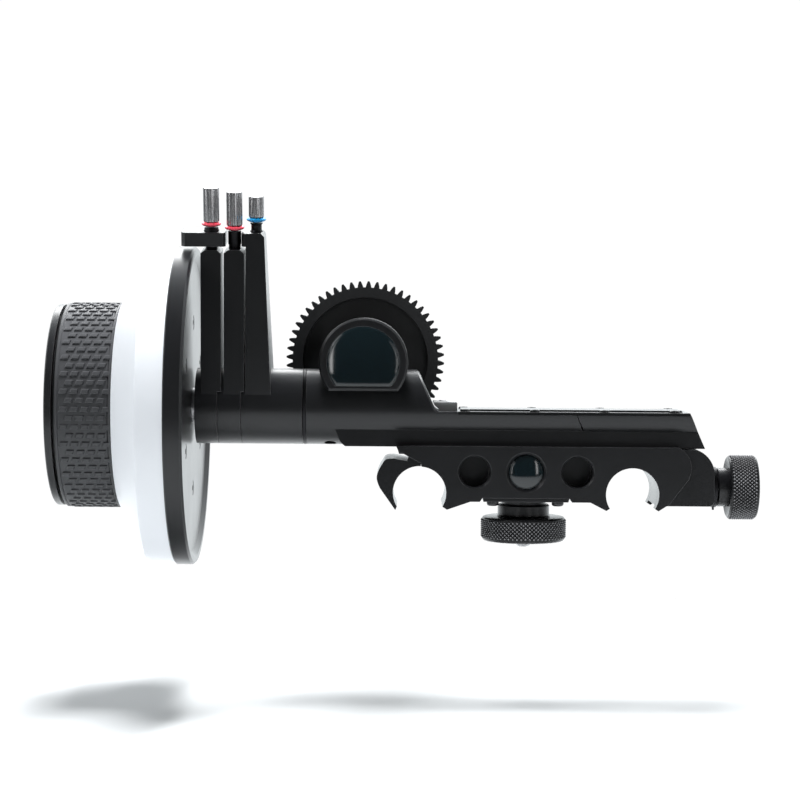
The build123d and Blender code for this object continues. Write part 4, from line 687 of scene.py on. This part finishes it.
@dataclass
class Turning:
    """A turned mesh, modelled about its own Z axis and then laid on a line of the part."""

    name: str
    sides: int
    origin: Point
    line: Line
    shape: Optional[bpy.types.Object] = None

    def begin(self, radius: float, low: float, high: float) -> None:
        """Add the open cylinder that the rest grows from, and enter edit mode.

        Args:
            radius: its radius in millimetres.
            low: where it starts along the piece's own axis.
            high: where it ends.
        """
        deselect()
        bpy.ops.mesh.primitive_cylinder_add(
            vertices=self.sides,
            radius=radius * MM,
            depth=(high - low) * MM,
            end_fill_type="NOTHING",
            location=(0, 0, (low + high) / 2 * MM),
        )
        self.shape = bpy.context.object
        self.shape.name = self.name
        self.shape.data.name = self.name
        bpy.ops.object.transform_apply(location=True)
        bpy.ops.object.mode_set(mode="EDIT")

    def grow(self, end: float, radius: float, profile: Iterable[tuple[float, float]]) -> None:
        """Carry an open end on through a profile, and close it if it comes to the axis.

        Args:
            end: where the open end is along the axis.
            radius: its radius.
            profile: the corners that follow, as (along, radius).
        """
        pick(self.shape, Element.EDGES, lambda edge: edge.is_boundary and self._on(edge, end))
        for along, reach in profile:
            step = (0, 0, (along - end) * MM)
            bpy.ops.mesh.extrude_edges_move(TRANSFORM_OT_translate={"value": step})
            share = max(reach, 0.001) / radius
            centre = (0, 0, along * MM)
            bpy.ops.transform.resize(value=(share, share, 1), center_override=centre)
            if reach == 0:
                bpy.ops.mesh.merge(type="CENTER")
                return
            end, radius = along, reach

    def _on(self, edge: bmesh.types.BMEdge, along: float) -> bool:
        """Return whether an edge lies at a place along the axis."""
        return all(abs(vertex.co.z / MM - along) < NEAR for vertex in edge.verts)

    def rows(self, count: int) -> None:
        """Divide the open cylinder into rows."""
        pick(self.shape, Element.EDGES, lambda edge: spread(edge)[0] < LEVEL)
        bpy.ops.mesh.subdivide(number_cuts=count - 1)

    def diamonds(self, count: int, height: float) -> None:
        """Raise a diamond knurl on the open cylinder.

        Args:
            count: rows of squares, each of which carries two rows of diamonds.
            height: how far the points stand above the valleys.
        """
        self.rows(count)
        bpy.ops.mesh.select_mode(type="FACE")
        bpy.ops.mesh.select_all(action="SELECT")
        bpy.ops.mesh.poke(offset=0.0)
        pick(self.shape, Element.EDGES, lambda edge: not edge.is_boundary and min(spread(edge)) < LEVEL)
        bpy.ops.mesh.dissolve_edges(use_verts=False)
        pick(self.shape, Element.FACES, lambda face: len(face.verts) == 4)
        bpy.ops.mesh.poke(offset=height * MM)

    def ribs(self, depth: float) -> None:
        """Cut straight knurl lines along the open cylinder.

        Args:
            depth: how deep the lines are.
        """
        step = 2 * math.pi / self.sides

        def every_other(vertex: bmesh.types.BMVert) -> bool:
            """Return whether a vertex lies in a valley."""
            return round(math.atan2(vertex.co.y, vertex.co.x) / step) % 2 == 1

        pick(self.shape, Element.VERTICES, every_other)
        mesh = bmesh.from_edit_mesh(self.shape.data)
        radius = max(math.hypot(vertex.co.x, vertex.co.y) for vertex in mesh.verts) / MM
        share = (radius - depth) / radius
        bpy.ops.transform.resize(value=(share, share, 1), center_override=(0, 0, 0))

    def lay(self, angle: float = 30.0) -> bpy.types.Object:
        """Shade the mesh and lay it on its line, with its place in the mesh.

        Args:
            angle: edges sharper than this many degrees stay sharp.

        Returns:
            The finished object.
        """
        bpy.ops.mesh.select_all(action="SELECT")
        bpy.ops.mesh.remove_doubles(threshold=0.000002)
        bpy.ops.mesh.normals_make_consistent(inside=False)
        bpy.ops.object.mode_set(mode="OBJECT")
        place = Matrix.Translation(Vector(self.origin) * MM)
        turn = Vector(self.line.value).to_track_quat("Z", "Y").to_matrix().to_4x4()
        self.shape.matrix_world = place @ turn
        bpy.ops.object.transform_apply(location=True, rotation=True)
        bpy.ops.object.shade_smooth_by_angle(angle=math.radians(angle))
        return self.shape


def set_piece(
    piece: bpy.types.Object, body: str, slot: str, material: bpy.types.Material, *replaced: str
) -> None:
    """Dress a finished piece and hand it to its body.

    Args:
        piece: the finished object.
        body: the body that carries it.
        slot: the record's material slot; not used.
        material: its finish.
        replaced: the CAD nodes that it stands for.
    """
    piece.data.materials.clear()
    piece.data.materials.append(material)
    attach(piece, body)
    if replaced:
        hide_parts(*replaced)
    LOG.info("made %s on %s, %d faces", piece.name, body, len(piece.data.polygons))


# ---------------------------------------------------------------- knobs
@dataclass
class ClampKnob:
    """Knob that drives the pusher against the right rod."""

    left: float = 58.3
    length: float = 8.2
    radius: float = 9.3
    height: float = 1.4
    collar_left: float = 55.2
    collar_radius: float = 5.55
    knurl: float = 0.4
    left_bevel: float = 0.4
    right_bevel: float = 0.45
    dish_depth: float = 1.2
    collar_bevel: float = 0.35
    screw_radius: float = 2.6
    recess_radius: float = 5.2
    recess_depth: float = 0.9
    centre_radius: float = 1.6
    centre_rise: float = 0.2
    rows: int = 6
    sides: int = 56

    def build(self, finishes: Finishes) -> None:
        """Model the knob with its diamond knurl and dress it.

        Args:
            finishes: the built finishes.
        """
        base = self.radius - self.knurl
        low, high = self.left_bevel, self.length - self.right_bevel
        turning = Turning("clamp_knob_knurled", self.sides, (self.left, 0, self.height), Line.SHAFT)
        turning.begin(base, low, high)
        turning.diamonds(self.rows, self.knurl)
        collar = self.collar_left - self.left
        floor = self.length - self.recess_depth
        turning.grow(low, base, [
            (0.1, base - 0.25),
            (0.0, base - 0.5),
            (self.dish_depth, self.collar_radius + 0.2),
            (self.dish_depth, self.collar_radius),
            (collar + self.collar_bevel, self.collar_radius),
            (collar, self.collar_radius - self.collar_bevel),
            (collar, self.screw_radius),
        ])
        turning.grow(high, base, [
            (self.length - 0.12, base - 0.2),
            (self.length, base - 0.45),
            (self.length, self.recess_radius),
            (self.length - 0.2, self.recess_radius - 0.2),
            (floor, self.recess_radius - 0.4),
            (floor, self.centre_radius),
            (floor + self.centre_rise, self.centre_radius - 0.3),
            (floor + self.centre_rise, 0),
        ])
        knob = turning.lay()
        set_piece(knob, "clamp_knob", "black_anodised", finishes.clamp_knurl, "clamp_knob")


@dataclass
class LockKnob:
    """Knob underneath that locks the carriage."""

    top: float = -7.4
    bottom: float = -14.3
    radius: float = 12.3
    neck_top: float = -3.82
    neck_radius: float = 7.4
    stud_radius: float = 2.06
    knurl: float = 0.4
    low_bevel: float = 0.75
    high_bevel: float = 0.55
    rim_width: float = 0.8
    neck_fillet: float = 0.5
    neck_bevel: float = 0.4
    recess_radius: float = 5.4
    recess_depth: float = 0.8
    rows: int = 5
    sides: int = 62

    def build(self, finishes: Finishes) -> None:
        """Model the knob with its diamond knurl and dress it.

        Args:
            finishes: the built finishes.
        """
        base = self.radius - self.knurl
        low, high = self.bottom + self.low_bevel, self.top - self.high_bevel
        roof = self.bottom + self.recess_depth
        turning = Turning("lock_knob_knurled", self.sides, (0, 0, 0), Line.UP)
        turning.begin(base, low, high)
        turning.diamonds(self.rows, self.knurl)
        turning.grow(high, base, [
            (self.top - 0.12, base - 0.3),
            (self.top, base - self.rim_width),
            (self.top, self.neck_radius + self.neck_fillet),
            (self.top + self.neck_fillet, self.neck_radius),
            (self.neck_top - self.neck_bevel, self.neck_radius),
            (self.neck_top, self.neck_radius - self.neck_bevel),
            (self.neck_top, self.stud_radius),
        ])
        turning.grow(low, base, [
            (self.bottom + 0.2, base - 0.35),
            (self.bottom, base - self.rim_width),
            (self.bottom, self.recess_radius),
            (roof, self.recess_radius - 0.8),
            (roof, self.stud_radius),
        ])
        knob = turning.lay()
        set_piece(knob, "lock_knob", "black_anodised", finishes.lock_knurl, "lock_knob")


# ---------------------------------------------------------------- pull pins and their rings
@dataclass
class PullPin:
    """Pull pin with its straight-knurled head and its rubber ring."""

    letter: str
    middle: float
    tip: float
    low: float
    length: float
    radius: float
    ring_slot: str
    rod: float = 0.9
    neck: float = 1.5
    neck_length: float = 1.3
    collar_low: float = 30.1
    collar_high: float = 31.0
    rib_depth: float = 0.16
    low_bevel: float = 0.18
    high_bevel: float = 0.3
    ring_height: float = 1.25
    ring_reach: float = 2.73
    ring_gap: float = 0.02
    ring_flat: float = 0.09
    sides: int = 44

    def build(self, finishes: Finishes) -> None:
        """Model the pin and the ring and dress them.

        Args:
            finishes: the built finishes.
        """
        origin = (self.middle, 0, WHEEL_HEIGHT)
        self._add_pin(origin, finishes)
        self._add_ring(origin, finishes)

    def _add_pin(self, origin: Point, finishes: Finishes) -> None:
        """Model the pin.

        Args:
            origin: the point that the pin's line starts from.
            finishes: the built finishes.
        """
        high = self.low + self.length
        head_low, head_high = self.low + self.low_bevel, high - self.high_bevel
        pin = Turning(f"pin_{self.letter}_knurled", self.sides, origin, Line.ARM)
        pin.begin(self.radius, head_low, head_high)
        pin.ribs(self.rib_depth)
        pin.grow(head_high, self.radius, [
            (high - 0.05, self.radius - 0.12),
            (high, self.radius - 0.3),
            (high, self.radius - 0.75),
            (high - 0.06, self.radius - 0.85),
            (high - 0.06, 0),
        ])
        pin.grow(head_low, self.radius, [
            (self.low, self.radius - 0.2),
            (self.low, self.neck),
            (self.low - self.neck_length, self.neck),
            (self.low - self.neck_length, self.rod),
            (self.collar_high, self.rod),
            (self.collar_high, self.neck),
            (self.collar_low, self.neck),
            (self.collar_low, self.rod),
            (self.tip, self.rod),
            (self.tip, 0),
        ])
        body = f"pin_{self.letter}"
        set_piece(pin.lay(25.0), body, "brushed_aluminium", finishes.knurled_bright, body)

    def _add_ring(self, origin: Point, finishes: Finishes) -> None:
        """Model the rubber ring.

        Args:
            origin: the point that the pin's line starts from.
            finishes: the built finishes.
        """
        half = self.ring_height / 2
        middle = self.low - half - self.ring_gap
        ring = Turning(f"ring_{self.letter}_moulded", self.sides, origin, Line.ARM)
        ring.begin(self.ring_reach, middle - self.ring_flat, middle + self.ring_flat)
        for side in (1, -1):
            ring.grow(middle + side * self.ring_flat, self.ring_reach, [
                (middle + side * 0.26, self.ring_reach - 0.1),
                (middle + side * 0.42, self.ring_reach - 0.34),
                (middle + side * 0.54, self.ring_reach - 0.66),
                (middle + side * half, self.neck + 0.05),
            ])
        pick(ring.shape, Element.EDGES, lambda edge: edge.is_boundary)
        bpy.ops.mesh.bridge_edge_loops()
        finish = getattr(finishes, BY_SLOT[self.ring_slot])
        set_piece(ring.lay(50.0), f"pin_{self.letter}", self.ring_slot, finish, f"o_ring_{self.letter}")


# ---------------------------------------------------------------- rubber grip
@dataclass
class Grip:
    """Rubber sleeve of the handwheel, with slanted nubs in staggered rows."""

    left: float = -130.4
    right: float = -114.9
    radius: float = 29.3
    bore: float = 26.93
    nub_height: float = 0.42
    nub_inset: float = 0.22
    nub_drop: float = 0.16
    nub_length: float = 2.1
    nub_width: float = 1.35
    nub_slant: float = 0.45
    first_nub: float = -128.1
    last_nub: float = -116.3
    long_row: int = 5
    pairs: int = 37
    plain_end: float = 1.0
    sides: int = 148

    def build(self, finishes: Finishes) -> None:
        """Model the sleeve, stud it with nubs and dress it.

        Args:
            finishes: the built finishes.
        """
        base = self.radius - self.nub_height
        low, high = self.left + self.plain_end, self.right - self.plain_end
        sleeve = Turning("grip_nubbed", self.sides, (0, 0, WHEEL_HEIGHT), Line.SHAFT)
        sleeve.begin(base, low, high)
        sleeve.grow(low, base, [
            (self.left + 0.85, base + 0.25),
            (self.left + 0.3, base + 0.25),
            (self.left, base - 0.1),
            (self.left, self.bore),
        ])
        sleeve.grow(high, base, [
            (self.right - 0.9, base - 0.18),
            (self.right - 0.72, base - 0.18),
            (self.right - 0.6, self.radius - 0.05),
            (self.right - 0.12, self.radius),
            (self.right, self.radius - 0.15),
            (self.right, self.bore),
        ])
        pick(sleeve.shape, Element.EDGES, lambda edge: edge.is_boundary)
        bpy.ops.mesh.bridge_edge_loops()
        whole = sleeve.lay(40.0)
        self._join(whole, self._rows(self._nub(base)))
        set_piece(whole, "handwheel", "grip_rubber", finishes.rubber, "grip_sleeve")

    def _nub(self, base: float) -> bpy.types.Object:
        """Model one nub at the front of the wheel, at the middle of the part.

        Args:
            base: radius of the surface that it stands on.

        Returns:
            The nub.
        """
        deselect()
        bpy.ops.mesh.primitive_cube_add(size=MM, location=(0, 0, 0))
        nub = bpy.context.object
        nub.name = "nub"
        bpy.ops.object.mode_set(mode="EDIT")
        bpy.ops.mesh.select_all(action="SELECT")
        size = (self.nub_length, 2 * self.nub_height, self.nub_width)
        bpy.ops.transform.resize(value=size, center_override=(0, 0, 0))
        pick(nub, Element.VERTICES, lambda vertex: vertex.co.z > 0)
        bpy.ops.transform.translate(value=(self.nub_slant * MM, 0, 0))
        pick(nub, Element.FACES, lambda face: face.normal.y < -0.9)
        bpy.ops.mesh.inset(thickness=self.nub_inset * MM)
        pick(nub, Element.FACES, lambda face: face.normal.y > 0.9)
        bpy.ops.mesh.delete(type="FACE")
        pick(nub, Element.VERTICES, self._rim)
        bpy.ops.transform.translate(value=(0, self.nub_drop * MM, 0))
        bpy.ops.mesh.select_all(action="SELECT")
        bpy.ops.transform.translate(value=(0, -base * MM, 0))
        bpy.ops.object.mode_set(mode="OBJECT")
        return nub

    def _rim(self, vertex: bmesh.types.BMVert) -> bool:
        """Return whether a vertex is on the nub's outer rim, beside the inset top."""
        faces = vertex.link_faces
        top = [face for face in faces if face.normal.y < -0.9]
        return vertex.co.y < 0 and len(top) == 2 and len(faces) == 4

    def _rows(self, nub: bpy.types.Object) -> list[bpy.types.Object]:
        """Copy the nub into staggered rows round the wheel.

        Args:
            nub: the nub that is copied.

        Returns:
            The rows' nubs.
        """
        pitch = (self.last_nub - self.first_nub) / (self.long_row - 1)
        hub = Matrix.Translation((0, 0, WHEEL_HEIGHT * MM))
        placed = []
        for row in range(2 * self.pairs):
            turn = Matrix.Rotation(math.pi * row / self.pairs, 4, "X")
            short = row % 2
            for step in range(self.long_row - short):
                along = self.first_nub + pitch * (step + short / 2)
                copy = nub.copy()
                copy.data = nub.data.copy()
                bpy.context.scene.collection.objects.link(copy)
                copy.matrix_world = hub @ turn @ Matrix.Translation((along * MM, 0, 0))
                placed.append(copy)
        bpy.data.objects.remove(nub)
        return placed

    def _join(self, whole: bpy.types.Object, rows: list[bpy.types.Object]) -> None:
        """Join the nubs to the sleeve.

        Args:
            whole: the sleeve, which keeps its name.
            rows: the nubs.
        """
        deselect()
        for copy in rows:
            copy.select_set(True)
        whole.select_set(True)
        bpy.context.view_layer.objects.active = whole
        bpy.ops.object.join()


# ---------------------------------------------------------------- studio
@dataclass(frozen=True)
class Softbox:
    """A soft light that faces the unit."""

    name: str
    place: Point
    size: tuple[float, float]
    watts: float
    in_reflections: bool = True
    on_matt: bool = True

    def add(self, aim: Point) -> None:
        """Add the light.

        Args:
            aim: the point that it faces, in millimetres.
        """
        data = bpy.data.lights.new(self.name, "AREA")
        data.shape = "RECTANGLE"
        data.size = self.size[0] * MM
        data.size_y = self.size[1] * MM
        data.energy = self.watts
        light = bpy.data.objects.new(self.name, data)
        bpy.context.scene.collection.objects.link(light)
        light.location = Vector(self.place) * MM
        towards = (Vector(aim) - Vector(self.place)).normalized()
        light.rotation_euler = towards.to_track_quat("-Z", "Y").to_euler()
        light.visible_glossy = self.in_reflections
        light.visible_diffuse = self.on_matt


SOFTBOXES = (
    Softbox("top_softbox", (-60, 10, 620), (420, 120), 17.0, in_reflections=False),
    Softbox("back_strip", (-60, 330, 330), (560, 140), 2.3, on_matt=False),
    Softbox("left_strip", (-480, -900, 120), (50, 500), 0.5, on_matt=False),
    Softbox("right_strip", (400, -900, 120), (50, 500), 0.5, on_matt=False),
    Softbox("left_softbox", (-560, -200, 420), (300, 300), 1.4),
    Softbox("right_softbox", (520, -260, 180), (160, 400), 0.5),
)


@dataclass
class Studio:
    """Camera, floor and lights."""

    camera_place: Point = (-35.7, -612.0, 51.5)
    focal_px: float = 2136.0
    horizon_px: float = 310.0
    frame_px: float = 800.0
    roll_deg: float = 0.45
    sensor_width: float = 36.0
    aim: Point = (-35.0, 0.0, 25.0)
    floor_colour: Colour = (0.46, 0.475, 0.485)
    floor_pale_colour: Colour = (0.48, 0.495, 0.505)
    floor_z: float = -62.0
    floor_far: float = 230.0
    floor_near: float = -300.0
    floor_left: float = -420.0
    floor_right: float = 360.0
    dark_edge: float = -0.35
    white_edge: float = 0.75
    front_light: float = 0.075
    back_light: float = 0.8
    glare: float = 1.75
    sky_light: float = 0.03
    seen_white: float = 1.02
    room_colour: Colour = (0.93, 0.98, 1.0)

    def add_camera(self) -> None:
        """Add the camera at the photograph's place."""
        data = bpy.data.cameras.new("camera")
        data.sensor_width = self.sensor_width
        data.lens = self.sensor_width * self.focal_px / self.frame_px
        data.clip_start = 0.01
        data.clip_end = 20.0
        camera = bpy.data.objects.new("camera", data)
        bpy.context.scene.collection.objects.link(camera)
        pitch = math.atan((self.frame_px / 2 - self.horizon_px) / self.focal_px)
        camera.rotation_euler = (math.radians(90) - pitch, 0, 0)
        roll = Matrix.Rotation(math.radians(self.roll_deg), 4, "Z")
        turn = camera.rotation_euler.to_matrix().to_4x4() @ roll
        camera.matrix_world = Matrix.Translation(Vector(self.camera_place) * MM) @ turn
        bpy.context.scene.camera = camera

    def add_floor(self) -> None:
        """Add the plain pale floor."""
        deselect()
        across = (self.floor_left + self.floor_right) / 2
        along = (self.floor_near + self.floor_far) / 2
        middle = Vector((across, along, self.floor_z)) * MM
        bpy.ops.mesh.primitive_plane_add(size=MM, location=middle)
        floor = bpy.context.object
        floor.name = "floor"
        floor.scale = (self.floor_right - self.floor_left, self.floor_far - self.floor_near, 1)
        bpy.ops.object.transform_apply(location=True, scale=True)
        shader = Shader("floor")
        cloud = shader.noise(300.0, 1.0)
        colour = shader.blend(cloud, self.floor_colour, self.floor_pale_colour)
        shader.put(Base_Color=colour, Roughness=0.8)
        floor.data.materials.append(shader.material)

    def add_world(self) -> None:
        """Surround the unit with a white room that is darker behind the camera."""
        world = bpy.data.worlds.new("room")
        bpy.context.scene.world = world
        shader = Shader("room", world)
        direction = shader.node("ShaderNodeTexCoord", {}, {}, "Generated")
        split = shader.node("ShaderNodeSeparateXYZ", {}, {"Vector": direction})
        outputs = split.socket.node.outputs
        depth, height = Signal(shader, outputs["Y"]), Signal(shader, outputs["Z"])
        contrast = self.back_light - self.front_light
        backdrop = depth.band(self.dark_edge, self.white_edge) * contrast
        sky = height.band(-0.1, 0.9) * self.sky_light
        seen = shader.node("ShaderNodeLightPath", {}, {}, "Is Camera Ray")
        mirrored = shader.node("ShaderNodeLightPath", {}, {}, "Is Glossy Ray")
        backdrop = backdrop * (mirrored * self.glare + 1.0)
        room = shader.blend(seen, self.room_colour, (1.0, 1.0, 1.0))
        strength = (backdrop + sky + self.front_light).larger(seen * self.seen_white)
        shader.put(Color=room, Strength=strength)

    def build(self) -> None:
        """Set up the whole studio."""
        bpy.context.scene.view_settings.view_transform = "Standard"
        self.add_camera()
        self.add_floor()
        self.add_world()
        for softbox in SOFTBOXES:
            softbox.add(self.aim)


PULL_PINS = (
    PullPin("a", middle=-89.05, tip=8.7, low=53.3, length=9.6, radius=2.25, ring_slot="ring_red"),
    PullPin("b", middle=-82.55, tip=8.7, low=52.3, length=9.5, radius=2.25, ring_slot="ring_red"),
    PullPin("c", middle=-76.4, tip=27.7, low=54.65, length=5.9, radius=2.15, ring_slot="ring_blue"),
)


def main() -> None:
    """Build the looks in order."""
    logging.basicConfig(level=logging.INFO, format="%(name)s: %(message)s")
    finishes = Finishes()
    dress_frame(finishes)
    for piece in (ClampKnob(), LockKnob(), *PULL_PINS, Grip()):
        piece.build(finishes)
    Studio().build()


if __name__ == "__main__":
    main()
